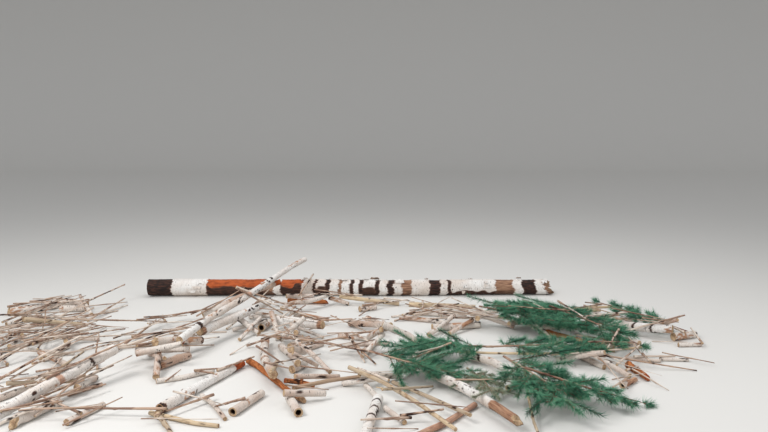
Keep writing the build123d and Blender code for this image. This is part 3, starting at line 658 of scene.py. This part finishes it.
def close_ends(limb, rows, local, wear, seed):
    """Add the end faces inside the first and the last ring, and say which rows are cut wood."""
    parts = []
    for end, order in ((0, slice(None)), (-1, slice(None, None, -1))):
        rim, rim_local, rim_wear = rows[end], local[end], wear[end]
        centre, centre_local = rim.mean(0), rim_local.mean(0)
        radius, hollow = limb.radii[end], limb.hollows[end]
        tooth = noise(rim_local, 0.014, 0.014, seed + 17) - 0.5
        level = np.ones(len(rim))
        faces, places, worn = [], [], []
        for share, depth in end_rings(radius, hollow, limb.depth):
            deep = float(bool(hollow and depth))
            rough = 1 + (0.02 + 0.34 * deep) * tooth
            ring = centre + (rim - centre) * (share * rough)[:, None]
            faces.append(ring - limb.ways[end] * depth)
            places.append(centre_local + (rim_local - centre_local) * share)
            # Down a hollow the rot gives way to the dark share: partly dark rotten wood, partly
            # painted shade
            worn.append(np.stack([rim_wear[:, 0], rim_wear[:, 1] * (1 - deep), level * deep,
                                  level * share * radius], -1))
        parts.append([np.array(part)[order] for part in (faces, places, worn)])
    start, stop = parts
    rows, local, wear = (np.concatenate(part) for part in zip(start, (rows, local, wear), stop))
    cut = np.zeros(len(rows), bool)
    cut[:len(start[0])] = True
    cut[len(rows) - len(stop[0]):] = True
    return rows, local, wear, cut


def flaps_of(node, limb, bark, seed):
    """Flaps of bark that stand off a limb, as closed strips bent round it, where its bark is white.

    radius(turn) = r + 2 mm + lift u^2, with u from 0 to 1 over the turn, outside and back inside."""
    chance = np.random.default_rng(seed + 5)
    middles, radii, along = path_of(limb, 0.02)
    _, beside, above = frames_along(middles)
    share, reach = np.linspace(-1, 1, FLAP_POINTS), np.linspace(0, 1, FLAP_POINTS)
    for _ in range(int(bark.flaps * along[-1])):
        long = chance.uniform(*FLAP_LONG) * radii[0]
        at = chance.uniform(long, along[-1] - long) + 0.5 * long * share
        turn, bow = chance.uniform(*FLAP_TURN), chance.uniform(*FLAP_BOW) * chance.choice([-1, 1])
        lift = chance.uniform(*FLAP_LIFT) * radii[0]
        narrow = (1.05 - np.abs(share) ** 8) * chance.uniform(0.45, 1.0, len(share))
        angles = turn + bow * narrow[:, None] * reach
        outer = radii[0] + FLAP_CLEAR + lift * narrow[:, None] * reach ** 2
        angles = np.concatenate([angles, angles[:, ::-1]], 1)
        reaches = np.concatenate([outer, outer[:, ::-1] - FLAP_THICK], 1)
        if bow < 0:
            angles, reaches = angles[:, ::-1], reaches[:, ::-1]
        axes = [along_chain(at, along, part)[:, None] for part in (middles, beside, above)]
        lie = np.stack([np.cos(angles), np.sin(angles)], -1)
        rows = axes[0] + reaches[..., None] * (lie[..., :1] * axes[1] + lie[..., 1:] * axes[2])
        rows[..., 2] = np.maximum(rows[..., 2], CLEAR_OF_FLOOR)
        lengths = np.broadcast_to(at[:, None, None], (*angles.shape, 1))
        local = np.concatenate([radii[0] * lie, lengths], -1) + chance.uniform(0, 40)
        wear = np.zeros((*angles.shape, 4))
        inner = slice(FLAP_POINTS, None) if bow > 0 else slice(0, FLAP_POINTS)
        wear[:, inner, 0] = 0.5
        middle = at.mean() / along[-1]
        if all("white" in kind for start, stop, kind in STRETCHES.get(node, ())
               if start < middle < stop):
            yield rows, local, wear


def slot_of(node):
    """The finish that the record gives a node."""
    return next(part["material_slot"] for part in frame["record"]["subparts"] if part["node"] == node)


def nodes_with(slot):
    """The nodes with a finish, without the trunk, which has a bark of its own."""
    return sorted(node for node in frame["nodes"] if slot_of(node) == slot and node != TRUNK)


def clothe(nodes, material, look):
    """Make the pieces that stand for nodes of logs or sticks, coarser where they hardly show."""
    materials = (material, cut_material(look))
    for node in nodes:
        bark = BARKS.get(node) or BARKS[slot_of(node)]
        fine = not node.startswith("low_logs")
        skin = Skin(f"{node}_bark")
        for number, solid in enumerate(solids_of(node)):
            for turn, limb in enumerate(limbs_of(*solid)):
                seed = seed_of(node, 17 * number + turn)
                radius = float(limb.radii.max())
                step, around = look.hidden_step, HIDDEN_ROUND
                if fine:
                    step = look.log_step if radius > 1.5 * THIN else look.stick_step
                    around = round(2 * math.pi * radius / look.around_step)
                    around = int(np.clip(around, *POINTS_ROUND))
                skin.add_limb(node, limb, bark, step, around, seed)
                if fine and turn == 0:
                    for flap in flaps_of(node, limb, bark, seed):
                        skin.add_rows(*flap)
        skin.build(materials, slot_of(node), node)


def add_node(tree, kind, inputs=(), ramp=(), **settings):
    """Add a shader node with its settings; each input is a value or the socket that feeds it."""
    node = tree.nodes.new(kind)
    for name, value in settings.items():
        setattr(node, name, value)
    for name, value in dict(inputs).items():
        if isinstance(value, bpy.types.NodeSocket):
            tree.links.new(value, node.inputs[name])
        else:
            node.inputs[name].default_value = value
    for element, (position, grey) in zip(node.color_ramp.elements if ramp else (), ramp):
        element.position, element.color = position, (grey, grey, grey, 1)
    return node


def new_material(name, roughness, shine):
    """A new material and its shader, of a roughness and a shine."""
    material = bpy.data.materials.new(name)
    material.use_nodes = True
    tree = material.node_tree
    tree.nodes.clear()
    shader = add_node(tree, "ShaderNodeBsdfPrincipled", {"Roughness": roughness,
                                                         "Specular IOR Level": shine})
    add_node(tree, "ShaderNodeOutputMaterial", {"Surface": shader.outputs[0]})
    return material, shader


class Paint:
    """A material of wood or needles, and the nodes that its colours are mixed with.

    For a needle, the attribute holds its tip, painted paler as a highlight on green needles, and its
    tone, in place of peeled and rotten shares."""

    def __init__(self, name, roughness, shine):
        self.material, self.shader = new_material(name, roughness, shine)
        self.grain = self.node("ShaderNodeAttribute", attribute_name="grain").outputs["Vector"]
        wear = self.node("ShaderNodeAttribute", attribute_name="wear")
        shares = self.node("ShaderNodeSeparateXYZ", {"Vector": wear.outputs["Vector"]})
        self.peeled, self.rotten, self.dark = shares.outputs[:3]
        self.pith = wear.outputs["Alpha"]

    def node(self, kind, *inputs, **settings):
        """Add a node to the tree."""
        return add_node(self.material.node_tree, kind, *inputs, **settings)

    def mix(self, share, below, above):
        """Mix two colours by a share; each is a socket or a value."""
        inputs = {0: share, 6: below, 7: above}
        return self.node("ShaderNodeMix", inputs, data_type="RGBA").outputs[2]

    def ramp(self, value, low, high, most=1.0):
        """A share that rises from 0 to most while a value rises from low to high."""
        return self.node("ShaderNodeValToRGB", {"Fac": value}, ((low, 0), (high, most))).outputs[0]

    def speckle(self, round_mm, along_mm, low, high, most=1.0, detail=3.0):
        """A share from noise that has its own size round the log and along it, in millimetres."""
        scale = (1 / (round_mm * MM), 1 / (round_mm * MM), 1 / (along_mm * MM))
        place = self.node("ShaderNodeMapping", {"Vector": self.grain, "Scale": scale}).outputs[0]
        field = self.node("ShaderNodeTexNoise", {"Vector": place, "Scale": 1.0, "Detail": detail})
        return self.ramp(field.outputs[0], low, high, most)

    def layers(self, base, *layers):
        """Lay colours over a base one after another, each by its share."""
        for share, above in layers:
            base = self.mix(share, base, above)
        return base

    def decay(self, streaks, look):
        """The layers of rotten wood and of wet dark wood, both with the same streaks. The dark layer
        is also painted shade on undersides and inside hollows.
        """
        return ((self.rotten, self.mix(streaks, look.rot_deep, look.rot_pale)),
                (self.dark, self.mix(streaks, look.wet_and_shade_deep, look.wet_and_shade_pale)))

    def finish(self, base, height=None, distance_mm=0.0, strength=0.0):
        """Give the shader its colour and raise its surface by a height of so many millimetres."""
        links = self.material.node_tree.links
        links.new(base, self.shader.inputs["Base Color"])
        if height:
            bump = self.node("ShaderNodeBump", {"Height": height, "Distance": distance_mm * MM,
                                                "Strength": strength})
            links.new(bump.outputs[0], self.shader.inputs["Normal"])
        return self.material


def birch_material(name, paper, flush, inner, look):
    """Birch bark: papery and matt, with a flush, short dark breathing marks that run round the log
    and a few black scars. They are drawn 6 to 9 mm wide, so that they show from where the
    photograph was taken. Where the bark has gone, inner bark, rotten wood and wet dark wood; the
    wet dark colour is also painted shade on the undersides of stretches."""
    paint = Paint(name, 0.78, 0.3)
    fibres = paint.speckle(5, 90, 0.35, 0.65)
    blotches = paint.speckle(26, 60, 0.40, 0.62)
    under = paint.mix(fibres, paint.mix(blotches, inner, look.inner_deep), look.inner_pale)
    rot = paint.mix(blotches, look.rot_pale, paint.mix(fibres, look.rot_deep, look.rot_pale))
    wet = paint.mix(paint.speckle(12, 50, 0.42, 0.66), look.wet_and_shade_deep, look.wet_and_shade_pale)
    bark = paint.layers(paper, (paint.speckle(170, 420, 0.44, 0.68), flush),
                        (paint.speckle(120, 9, 0.50, 0.74, 0.45), look.paper_shade),
                        (paint.speckle(14, 3, 0.60, 0.66, 0.45), look.mark),
                        (paint.speckle(34, 8, 0.66, 0.69, 0.9), look.mark),
                        (paint.speckle(44, 26, 0.71, 0.73), look.scar),
                        (paint.peeled, under), (paint.rotten, rot), (paint.dark, wet))
    height = paint.mix(paint.peeled, paint.speckle(30, 4, 0.3, 0.7), fibres)
    return paint.finish(bark, height, 1.5, 0.8)


def pine_material(look):
    """Pine bark and rotten pine: orange-brown plates with dark cracks over crumbling red wood. The
    dark of the cracks is partly the bark's own and partly painted shade.
    """
    paint = Paint("pine_bark", 0.85, 0.25)
    place = paint.node("ShaderNodeMapping", {"Vector": paint.grain, "Scale": (70, 70, 36)})
    plates = paint.node("ShaderNodeTexVoronoi", {"Vector": place.outputs[0], "Scale": 1.0},
                        feature="DISTANCE_TO_EDGE")
    cracks = paint.ramp(plates.outputs[0], 0.02, 0.14)
    fibres = paint.speckle(5, 80, 0.35, 0.65, detail=5)
    flakes = paint.mix(paint.speckle(20, 34, 0.35, 0.65), look.pine_deep, look.pine_pale)
    # The cracks between plates keep the dark brown base: partly the bark's own dark, partly painted
    # shade
    bark = paint.layers(look.wet_and_shade_pale, (cracks, flakes),
                        (paint.peeled, paint.mix(fibres, look.pine_deep, look.dry_pale)),
                        (paint.rotten, paint.mix(fibres, look.pine_deep, look.pine_pale)),
                        (paint.speckle(24, 70, 0.60, 0.70, 0.7), look.rot_deep),
                        (paint.dark, paint.mix(fibres, look.wet_and_shade_deep, look.wet_and_shade_pale)))
    return paint.finish(bark, paint.mix(paint.rotten, cracks, fibres), 2.5, 0.9)


def stick_material(name, pale, deep, old, look):
    """Dry barkless wood: streaks along the grain, greyed by weather, with rests of thin bark. The
    tone changes over more than a stick's length, so that each stick has its own."""
    paint = Paint(name, 0.82, 0.25)
    streaks = paint.speckle(4, 90, 0.35, 0.65)
    tone = paint.speckle(600, 1400, 0.42, 0.58)
    wood = paint.layers(pale, (tone, old), (paint.speckle(6, 70, 0.48, 0.75, 0.7), deep))
    bark = paint.layers(old, (tone, deep), (paint.speckle(16, 6, 0.40, 0.60), deep),
                        (paint.peeled, wood), *paint.decay(streaks, look))
    return paint.finish(bark, streaks, 0.8, 0.7)


def cut_material(look):
    """A sawn or broken end: pale wood with rings that are drawn 4 mm apart, some of it stained, and
    the dark inside of a hollow, partly rotten wood and partly painted shade."""
    existing = bpy.data.materials.get("cut_wood")
    if existing:
        return existing
    paint = Paint("cut_wood", 0.9, 0.2)
    pores = paint.speckle(4, 4, 0.35, 0.65)
    sway = paint.node("ShaderNodeMath", {0: paint.pith, 1: END_RINGS}, operation="MULTIPLY")
    bend = paint.node("ShaderNodeTexNoise", {"Vector": paint.grain, "Scale": 60.0})
    turn = paint.node("ShaderNodeMath", {0: bend.outputs[0], 1: 7.0, 2: sway.outputs[0]},
                      operation="MULTIPLY_ADD")
    ring = paint.node("ShaderNodeMath", {0: turn.outputs[0]}, operation="SINE")
    rings = paint.ramp(ring.outputs[0], 0.1, 0.9, 0.55)
    wood = paint.layers(look.cut_deep, (pores, look.cut_pale), (rings, look.cut_deep),
                        (paint.speckle(26, 26, 0.45, 0.68, 0.7), look.cut_stain),
                        *paint.decay(pores, look))
    return paint.finish(wood, paint.mix(0.5, pores, rings), 1.2, 0.8)


def needle_material(name, young, old, pale):
    """Pine needles: narrow, smooth and a little waxy, each with a tone of its own, darker at the root
    and paler at the tip; on green needles that is painted shade and painted highlight.
    """
    paint = Paint(name, 0.5, 0.4)
    tip, tone = paint.peeled, paint.rotten
    return paint.finish(paint.mix(tip, paint.mix(tone, old, young), paint.mix(tone, young, pale)))


def twigs_of(points, triangles):
    """The stem of a bough as a chain, its thickness, and its twigs as rows of root and tip.

    The butt is the widest round end. The stem leaves it square, bends once and ends in a tip."""
    caps = []
    for cap in caps_of(points, triangles):
        reach = np.linalg.norm(points[cap.corners] - cap.middle, axis=1)
        if reach.max() < min(ROUND * reach.min(), WIDEST_TWIG):
            caps.append(cap)
    butt = max(caps, key=lambda cap: cap.radius)
    tips = [cap for cap in caps if cap is not butt]
    last = max(tips, key=lambda cap: np.linalg.norm(cap.middle - butt.middle))
    along, off = off_line(points, butt.middle, -butt.way)
    reach = np.linalg.norm(last.middle - butt.middle)
    bend = butt.middle - butt.way * along[(off < butt.radius) & (along < STEM_BEND * reach)].max()
    rise = bend - butt.middle
    chain = np.array([butt.middle, bend, bend + 2 * (rise @ last.way) * last.way - rise])
    return chain, butt.radius, [(nearest_on(chain, cap.middle, cap.way), cap.middle) for cap in tips]


def side_twigs(twigs, chance, per_twig, up):
    """The twigs and the shorter ones that leave them to both sides, as roots and tips."""
    rows = list(twigs)
    for root, tip in twigs:
        long = np.linalg.norm(tip - root)
        way = (tip - root) / long
        side = np.cross(way, up)
        for number in range(per_twig):
            share = 0.10 + 0.80 * number / per_twig
            turn = math.radians(chance.uniform(*SIDE_TURN)) * (1 if number % 2 else -1)
            out = way * math.cos(turn) + side * math.sin(turn) + up * chance.uniform(-0.30, 0.35)
            out /= np.linalg.norm(out)
            start = root + way * long * share
            reach = out * long * chance.uniform(*SIDE_LONG) * (1.15 - 0.6 * share)
            rows.append((start, start + reach))
    return rows


def needles_on(rows, chance, spacing, long, width):
    """Needles along twigs: thin closed spikes of four corners that lean out and forward.

    tip = root + length (way cos lean + out sin lean), with three corners round the root."""
    roots, ways, tones = [], [], []
    for root, tip in rows:
        run = np.linalg.norm(tip - root)
        count = max(8, int(run / spacing))
        share = chance.uniform(0.06, 1.02, count) ** 0.8
        roots.append(root + share[:, None] * (tip - root))
        ways.append(np.broadcast_to((tip - root) / run, (count, 3)))
        tones.append(chance.uniform(0, 0.8) + chance.uniform(0, 0.2, count))
    roots, ways = np.vstack(roots), np.vstack(ways)
    count = len(roots)
    loose = chance.normal(size=(count, 3))
    out = unit(loose - (loose * ways).sum(1)[:, None] * ways)
    lean = np.radians(chance.uniform(*NEEDLE_LEAN, count))[:, None]
    way = ways * np.cos(lean) + out * np.sin(lean)
    tips = roots + way * (long * chance.uniform(*NEEDLE_LONG, count))[:, None]
    side = unit(np.cross(way, out))
    lift = np.cross(side, way)
    corners = [roots + width * (math.cos(turn) * side + math.sin(turn) * lift)
               for turn in (0.0, 2 * math.pi / 3, 4 * math.pi / 3)]
    points = np.stack([*corners, tips], 1)
    floor = CLEAR_OF_FLOOR + 0.0006 * np.array([0, 1, 2, 0.5])
    points[..., 2] = np.maximum(points[..., 2], floor)
    wear = np.zeros((count, 4, 4))
    # The tip corner is marked, so that a needle is painted paler at its tip than at its root: on
    # green needles a painted highlight over painted shade
    wear[:, 3, 0] = 1
    wear[..., 1] = np.concatenate(tones)[:, None]
    first = 4 * np.arange(count)[:, None, None]
    faces = (first + np.array([[0, 2, 1], [0, 1, 3], [1, 2, 3], [2, 0, 3]])).reshape(-1, 3)
    return points.reshape(-1, 3), faces, wear.reshape(-1, 4)


def make_boughs(slot, materials, needle, per_twig, look):
    """Make the boughs with a finish: brown stems and twigs, and the needles that clothe them."""
    for node in nodes_with(slot):
        skin, spikes = Skin(f"{node}_needles"), []
        for number, solid in enumerate(solids_of(node)):
            chance = np.random.default_rng(seed_of(node, number))
            chain, thick, twigs = twigs_of(*solid)
            up = np.cross(chain[1] - chain[0], chain[2] - chain[1])
            up = up / np.linalg.norm(up) * math.copysign(1, up[2])
            rows = side_twigs(twigs, chance, per_twig, up)
            stem = straight(chain[0], chain[-1], thick, thick)
            limbs = [stem._replace(middles=chain, radii=thick * np.array(STEM_TAPER))]
            for root, tip in rows:
                wide = LONG_RADIUS if np.linalg.norm(tip - root) > LONG_TWIG else SHORT_RADIUS
                limbs.append(straight(root, tip, wide, TIP_RADIUS))
            for turn, limb in enumerate(limbs):
                seed = seed_of(node, 100 * number + turn)
                detail = TWIG_DETAIL if turn else STEM_DETAIL
                skin.add_limb(node, limb, BARKS["brushwood"], *detail, seed, cut_ends=False)
            spikes.append(needles_on(rows, chance, look.needle_gap, needle, look.needle_half))
        for spike in spikes:
            skin.add_spikes(*spike)
        skin.build(materials, slot, node)


def tops_of(points):
    """The top of the heap over square cells, and the low corner of the cells."""
    low = points.min(0)[:2]
    place = ((points[:, :2] - low) / CELL).astype(int)
    tops = np.zeros(place.max(0) + 1)
    np.maximum.at(tops, (place[:, 0], place[:, 1]), points[:, 2])
    return low, tops


def rest_of(tops, low, middle, way, long):
    """How a straight stick comes to rest on the heap: its height at the middle and its slope.

    Of all lines over a point of the heap on each side of the middle, it is the highest there."""
    along = np.arange(-long / 2, long / 2, CELL)
    place = ((middle + along[:, None] * way - low) / CELL).astype(int)
    inside = ((place >= 0) & (place < tops.shape)).all(1)
    profile = np.where(inside, tops[tuple(np.clip(place, 0, np.array(tops.shape) - 1).T)], 0)
    left, right = along < 0, along > 0
    slopes = profile[right][None] - profile[left][:, None]
    slopes /= along[right][None] - along[left][:, None]
    heights = profile[left][:, None] - along[left][:, None] * slopes
    best = np.unravel_index(np.argmax(heights), heights.shape)
    return heights[best], slopes[best]


def strew(materials, look):
    """Strew thin dead twigs over the small pieces of the heap, each at rest on what lies under it.

    Those at the left rise to the right and away from the viewer, those at the right fall."""
    chance = np.random.default_rng(41)
    pieces = [piece for piece in bpy.data.objects
              if piece.name.endswith("_bark") and TRUNK not in piece.name]
    points = np.vstack([corners_of(piece.data) for piece in pieces
                        if piece.name.startswith(("brushwood", "short_logs", "low_logs"))])
    low, tops = tops_of(np.vstack([corners_of(piece.data) for piece in pieces]))
    lowest, highest = (np.array(corner[:2]) for corner in CAD_BOX)
    skin = Skin("thin_twigs")
    taken = []
    while len(taken) < look.twigs:
        middle = points[chance.integers(len(points))][:2] + chance.uniform(-0.12, 0.12, 2)
        if any(np.linalg.norm(other - middle) < look.twig_spread for other in taken):
            continue
        long = chance.uniform(*STREWN_LONG)
        turn = math.radians(chance.normal(np.interp(middle[0], *TREND), TREND_SPREAD))
        way = np.array([math.cos(turn), math.sin(turn)])
        ends = np.array([middle - way * long / 2, middle + way * long / 2])
        height, slope = rest_of(tops, low, middle, way, long)
        outside = (ends < lowest).any() or (ends > highest).any()
        if abs(slope) > STEEPEST or not THIN < height < HIGHEST or outside:
            continue
        thick = chance.uniform(*STREWN_RADIUS)
        share = np.array(STREWN_BENDS)
        flat = middle + share[:, None] * long * way
        flat += np.outer([0, 1, -0.6, 0], [-way[1], way[0]]) * long * chance.uniform(-0.04, 0.04)
        middles = np.column_stack([flat, np.maximum(height + slope * share * long, 0) + thick])
        limb = straight(middles[0], middles[-1], thick, thick)
        limb = limb._replace(middles=middles, radii=thick * np.array(STREWN_TAPER))
        seed = seed_of(skin.name, len(taken))
        skin.add_limb(skin.name, limb, BARKS["brushwood"], look.twig_step, 6, seed)
        steps = np.linspace(-0.5, 0.5, int(long / CELL) + 2)[:, None]
        near = ((middle + steps * long * way - low) / CELL).astype(int)
        near = np.clip(near, 0, np.array(tops.shape) - 1)
        np.maximum.at(tops, tuple(near.T), height + slope * steps[:, 0] * long + 2 * thick)
        taken.append(middle)
    skin.build(materials, "brushwood")


def make_floor(look):
    """A pale floor that curves up into the backdrop: a profile carried across."""
    near, far, bend, top, half = -35.0, 24.0, 8.0, 34.0, 60.0
    turns = np.linspace(0, math.pi / 2, 17)
    depth = [near, *(far + bend * np.sin(turns)), far + bend]
    rise = [0.0, *(bend - bend * np.cos(turns)), top]
    points = [(x, y, z) for y, z in zip(depth, rise) for x in (-half, half)]
    faces = [(2 * row, 2 * row + 1, 2 * row + 3, 2 * row + 2) for row in range(len(depth) - 1)]
    mesh = bpy.data.meshes.new("floor")
    mesh.from_pydata(points, [], faces)
    mesh.polygons.foreach_set("use_smooth", np.ones(len(faces), bool))
    material, shader = new_material("pale_floor", 0.9, 0.2)
    shader.inputs["Base Color"].default_value = look.floor
    mesh.materials.append(material)
    floor = add_object("floor", mesh)


def make_lamps(goal):
    """Soft round lamps that look at a point."""
    for name, (place, size, power) in LAMPS.items():
        light = bpy.data.lights.new(name, "AREA")
        light.shape = "DISK"
        light.size = size
        light.energy = power
        lamp = add_object(name, light)
        lamp.location = place
        x, y, z = np.array(place) - goal
        lamp.rotation_euler = (math.atan2(math.hypot(x, y), z), 0, math.atan2(x, -y))


class HeapLook(bpy.types.PropertyGroup):
    """Sizes and colours of the finish."""

    log_step: length(0.007, "Log step", "Distance of the rings along a log")
    stick_step: length(0.014, "Stick step", "Distance of the rings along a thin stick")
    twig_step: length(0.050, "Twig step", "Distance of the rings along a strewn twig")
    hidden_step: length(0.020, "Hidden step", "Distance of the rings along a log that hardly shows")
    around_step: length(0.006, "Step round", "Distance of the points round a log")
    needle: length(0.055, "Needle", "Length of a green needle")
    needle_half: length(0.0015, "Needle half width", "Half the width that a needle is drawn with")
    needle_gap: length(0.00165, "Needle gap", "Distance of the needles along a twig")
    dry_needle: length(0.035, "Dry needle", "Length of a needle of the dry sprig")
    twig_spread: length(0.085, "Twig spread", "Least distance between the middles of strewn twigs")
    twigs: bpy.props.IntProperty(name="Twigs", default=140, min=0,
                                 description="How many twigs are strewn")
    paper: colour("#E6E3DF", "White birch bark")
    warm_paper: colour("#D3C5B9", "Flush of white birch bark")
    old_paper: colour("#D9D0C7", "Weathered birch bark")
    old_flush: colour("#B79A87", "Flush of weathered birch bark")
    paper_shade: colour("#B9ADA4", "Soft bands round birch bark")
    mark: colour("#4B3F3A", "Breathing marks of birch bark")
    scar: colour("#241D1B", "Black scars of birch bark")
    trunk_inner: colour("#5B3528", "Peeled wood of the old trunk")
    inner: colour("#A27458", "Peeled wood of the logs")
    inner_deep: colour("#6A4030", "Dark streaks of peeled wood")
    inner_pale: colour("#C29A7C", "Pale streaks of peeled wood")
    rot_deep: colour("#64290F", "Dark streaks of rotten wood")
    rot_pale: colour("#B5582B", "Pale streaks of rotten wood")
    # Wet dark wood, and also painted shade on the undersides of stretches, inside hollows and in the
    # cracks of pine bark
    wet_and_shade_deep: colour("#1E1411", "Black-brown wet wood")
    wet_and_shade_pale: colour("#4A2E24", "Brown wet wood")
    pine_deep: colour("#8C4A24", "Shaded plates of pine bark")
    pine_pale: colour("#C87F4C", "Lit plates of pine bark")
    dry_pale: colour("#D3BD9D", "Pale barkless wood")
    dry_deep: colour("#957556", "Dark streaks of barkless wood")
    dry_old: colour("#B3A28D", "Greyed barkless wood")
    brush_pale: colour("#E1D5C8", "Pale thin sticks")
    brush_deep: colour("#8A6E5E", "Dark streaks of thin sticks")
    brush_old: colour("#B69A85", "Brown thin sticks")
    cut_pale: colour("#DBC6A8", "Pale wood of an end")
    cut_deep: colour("#AE8C68", "Rings of an end")
    cut_stain: colour("#7D5D46", "Stains of an end")
    # Green needles, darker at the root as painted shade and paler at the tip as painted highlight
    needle_young: colour("#2F8562", "Bright green needles")
    needle_deep_and_root_shade: colour("#08302A", "Deep green needles")
    needle_tip_highlight: colour("#8FC7A0", "Pale tips of green needles")
    sprig_young: colour("#7E9077", "Grey-green dry needles")
    sprig_old: colour("#5C6B55", "Deep grey-green dry needles")
    sprig_pale: colour("#C5C4A4", "Straw tips of dry needles")
    floor: colour("#D9D7D3", "Floor and backdrop")
    sky: colour("#F2F4F7", "Light from all round")


class LOGS_OT_trunk(bpy.types.Operator):
    """Clothe the long birch trunk at the back: white bark in bands between rotten and wet wood"""

    bl_idname = "logs.trunk"
    bl_label = "Back trunk"

    def execute(self, context):
        look = context.scene.heap_look
        bark = birch_material("old_birch_bark", look.paper, look.warm_paper, look.trunk_inner, look)
        clothe([TRUNK], bark, look)
        return {"FINISHED"}


class LOGS_OT_white_birch(bpy.types.Operator):
    """Clothe the clean white birch logs"""

    bl_idname = "logs.white_birch"
    bl_label = "White birch logs"

    def execute(self, context):
        look = context.scene.heap_look
        bark = birch_material("birch_bark", look.paper, look.warm_paper, look.inner, look)
        clothe(nodes_with("birch_white"), bark, look)
        return {"FINISHED"}


class LOGS_OT_weathered_birch(bpy.types.Operator):
    """Clothe the weathered short logs, and coarsely the lowest ones, which hardly show"""

    bl_idname = "logs.weathered_birch"
    bl_label = "Weathered birch logs"

    def execute(self, context):
        look = context.scene.heap_look
        bark = birch_material("weathered_birch_bark", look.old_paper, look.old_flush, look.inner,
                              look)
        clothe(nodes_with("birch_mix"), bark, look)
        return {"FINISHED"}


class LOGS_OT_pine_logs(bpy.types.Operator):
    """Clothe the orange pine logs"""

    bl_idname = "logs.pine_logs"
    bl_label = "Pine logs"

    def execute(self, context):
        look = context.scene.heap_look
        clothe(nodes_with("pine_orange"), pine_material(look), look)
        return {"FINISHED"}


class LOGS_OT_dry_sticks(bpy.types.Operator):
    """Clothe the dry barkless sticks and poles"""

    bl_idname = "logs.dry_sticks"
    bl_label = "Dry sticks"

    def execute(self, context):
        look = context.scene.heap_look
        wood = stick_material("dry_wood", look.dry_pale, look.dry_deep, look.dry_old, look)
        clothe(nodes_with("dry_stick"), wood, look)
        return {"FINISHED"}


class LOGS_OT_brushwood(bpy.types.Operator):
    """Clothe the brushwood and strew thin twigs over the heap"""

    bl_idname = "logs.brushwood"
    bl_label = "Brushwood"

    def execute(self, context):
        look = context.scene.heap_look
        wood = stick_material("twig_wood", look.brush_pale, look.brush_deep, look.brush_old, look)
        clothe(nodes_with("brushwood"), wood, look)
        strew((wood, cut_material(look)), look)
        return {"FINISHED"}


class LOGS_OT_pine_boughs(bpy.types.Operator):
    """Clothe the pine boughs with green needles"""

    bl_idname = "logs.pine_boughs"
    bl_label = "Pine boughs"

    def execute(self, context):
        look = context.scene.heap_look
        green = needle_material("pine_needles", look.needle_young, look.needle_deep_and_root_shade, look.needle_tip_highlight)
        twig = stick_material("pine_twig_bark", look.brush_old, look.brush_deep, look.inner_deep,
                              look)
        make_boughs("pine_needles", (twig, green), look.needle, 10, look)
        return {"FINISHED"}


class LOGS_OT_dry_sprig(bpy.types.Operator):
    """Clothe the dry sprig with grey-green needles"""

    bl_idname = "logs.dry_sprig"
    bl_label = "Dry sprig"

    def execute(self, context):
        look = context.scene.heap_look
        grey = needle_material("dry_pine_needles", look.sprig_young, look.sprig_old, look.sprig_pale)
        twig = stick_material("dry_twig_bark", look.dry_old, look.brush_deep, look.brush_old, look)
        make_boughs("dry_needles", (twig, grey), look.dry_needle, 6, look)
        return {"FINISHED"}


class LOGS_OT_stage(bpy.types.Operator):
    """Set up a pale floor and backdrop, soft lamps and the camera where the photograph was taken"""

    bl_idname = "logs.stage"
    bl_label = "Stage"

    def execute(self, context):
        scene = context.scene
        look = scene.heap_look
        make_floor(look)
        make_lamps(np.mean(CAD_BOX, axis=0))
        scene.world = bpy.data.worlds.new("studio")
        scene.world.use_nodes = True
        background = scene.world.node_tree.nodes["Background"].inputs
        background["Color"].default_value = look.sky
        background["Strength"].default_value = 0.55
        camera = add_object("camera", bpy.data.cameras.new("camera"))
        camera.data.lens = LENS
        trunk = np.mean(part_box(TRUNK), axis=0)[:2]
        camera.location = (*(trunk + CAMERA_FROM_TRUNK), CAMERA_HEIGHT)
        camera.rotation_euler = (math.radians(90 - CAMERA_PITCH), 0, 0)
        scene.camera = camera
        scene.view_settings.view_transform = "Standard"
        return {"FINISHED"}


STEPS = (LOGS_OT_trunk, LOGS_OT_white_birch, LOGS_OT_weathered_birch, LOGS_OT_pine_logs,
         LOGS_OT_dry_sticks, LOGS_OT_brushwood, LOGS_OT_pine_boughs, LOGS_OT_dry_sprig, LOGS_OT_stage)


class LOGS_PT_sidebar(bpy.types.Panel):
    """The steps that finish the heap, and its sizes and colours"""

    bl_label = "Stack of Logs"
    bl_idname = "LOGS_PT_sidebar"
    bl_space_type = "VIEW_3D"
    bl_region_type = "UI"
    bl_category = "Logs"

    def draw(self, context):
        for step in STEPS:
            self.layout.operator(step.bl_idname)
        for name in HeapLook.__annotations__:
            self.layout.prop(context.scene.heap_look, name)


CLASSES = (HeapLook, *STEPS, LOGS_PT_sidebar)


def register():
    """Register the classes and hang the look on the scene."""
    for part in CLASSES:
        bpy.utils.register_class(part)
    bpy.types.Scene.heap_look = bpy.props.PointerProperty(type=HeapLook)


def unregister():
    """Take the look and the classes away again."""
    del bpy.types.Scene.heap_look
    for part in reversed(CLASSES):
        bpy.utils.unregister_class(part)


def main():
    """Finish the heap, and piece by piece."""
    register()
    bpy.ops.logs.trunk()
    bpy.ops.logs.white_birch()
    bpy.ops.logs.weathered_birch()
    bpy.ops.logs.pine_logs()
    bpy.ops.logs.dry_sticks()
    bpy.ops.logs.brushwood()
    bpy.ops.logs.pine_boughs()
    bpy.ops.logs.dry_sprig()
    bpy.ops.logs.stage()


if __name__ == "__main__":
    main()
